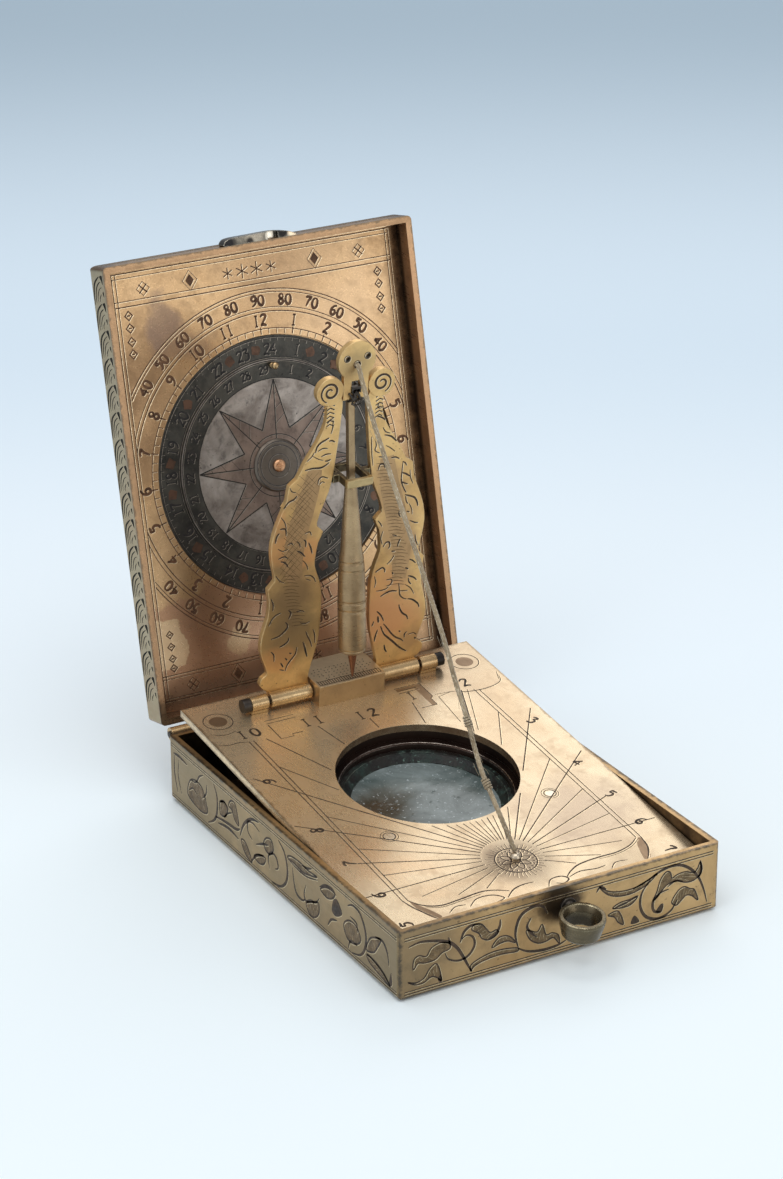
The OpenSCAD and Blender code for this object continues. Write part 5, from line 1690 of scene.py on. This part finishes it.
drawPlainFace("lidBack", "lid", 29.6, -40.5, 40.5, 24)
drawPlainFace("caseUnder", "case", 29, -40, 40, 20)
print("dolphins, block, card and plain faces done")

scene.view_settings.view_transform = "Standard"

# Ground, sky and lights
stageSetup = {
    "across": (0.4934, 0.8698),
    "size": 14,
    # painted light: the ground runs from near-white near the camera and object to blue-grey further away
    "tones": [(-0.25, (240, 250, 255)), (-0.02, (240, 250, 255)), (0.10, (236, 247, 255)),
              (0.29, (216, 232, 245)), (0.64, (172, 191, 206)), (1.2, (150, 170, 190))],
}


def makeGround(setup):
    grid = bmesh.new()
    bmesh.ops.create_grid(grid, x_segments=40, y_segments=40, size=setup["size"] / 2)
    mesh = bpy.data.meshes.new("ground")
    grid.to_mesh(mesh)
    grid.free()
    ground = bpy.data.objects.new("ground", mesh)
    scene.collection.objects.link(ground)
    material, tree, shader, point = newMaterial("paper")
    dot = addNode(tree, "ShaderNodeVectorMath", {0: point, 1: (*setup["across"], 0)}, "DOT_PRODUCT")
    low, high = setup["tones"][0][0], setup["tones"][-1][0]
    share = remap(tree, dot.outputs["Value"], low, high)
    ramp = tree.nodes.new("ShaderNodeValToRGB")
    ramp.color_ramp.interpolation = "EASE"
    stops = ramp.color_ramp.elements
    while len(stops) < len(setup["tones"]):
        stops.new(0.5)
    for stop, (place, colour) in zip(stops, setup["tones"]):
        stop.position = (place - low) / (high - low)
    for stop, (place, colour) in zip(stops, setup["tones"]):
        stop.color = tone(*colour)
    plugAll(tree, ramp, {"Fac": share})
    plugAll(tree, shader, {"Base Color": ramp.outputs["Color"], "Roughness": 0.85, "Specular IOR Level": 0.1})
    mesh.materials.append(material)


makeGround(stageSetup)

lightSetup = {
    "topSoft": {"place": (-0.14, -0.15, 0.95), "aim": (0, 0, 0.03), "size": (0.9, 0.9), "power": 5.0,
                "colour": (1, 0.985, 0.965)},
    "leftSheet": {"place": (-0.95, -0.2, 0.45), "aim": (0, 0, 0.04), "size": (0.7, 0.9), "power": 1.2,
                  "colour": (0.95, 0.98, 1)},
    "backRight": {"place": (0.55, 0.75, 0.7), "aim": (0, 0, 0.03), "size": (0.8, 0.6), "power": 2.2,
                  "colour": (1, 0.98, 0.95)},
    "frontRight": {"place": (0.60, -1.05, 0.24), "aim": (0, 0.04, 0.05), "size": (0.9, 0.36), "power": 1.5,
                   "colour": (1, 0.97, 0.94)},
}
skySetup = {"colour": (0.93, 0.96, 1, 1), "strength": 0.5}


def makeLights(setup, sky):
    for name, light in setup.items():
        data = bpy.data.lights.new(name, "AREA")
        data.shape = "RECTANGLE"
        data.size, data.size_y = light["size"]
        data.energy = light["power"]
        data.color = light["colour"]
        lamp = bpy.data.objects.new(name, data)
        scene.collection.objects.link(lamp)
        away = Vector(light["aim"]) - Vector(light["place"])
        aim = away.to_track_quat("-Z", "Y").to_matrix().to_4x4()
        lamp.matrix_world = Matrix.Translation(light["place"]) @ aim
    world = bpy.data.worlds.new("sky")
    world.use_nodes = True
    background = world.node_tree.nodes["Background"]
    background.inputs["Color"].default_value = sky["colour"]
    background.inputs["Strength"].default_value = sky["strength"]
    scene.world = world


makeLights(lightSetup, skySetup)
print("ground and lights ready")
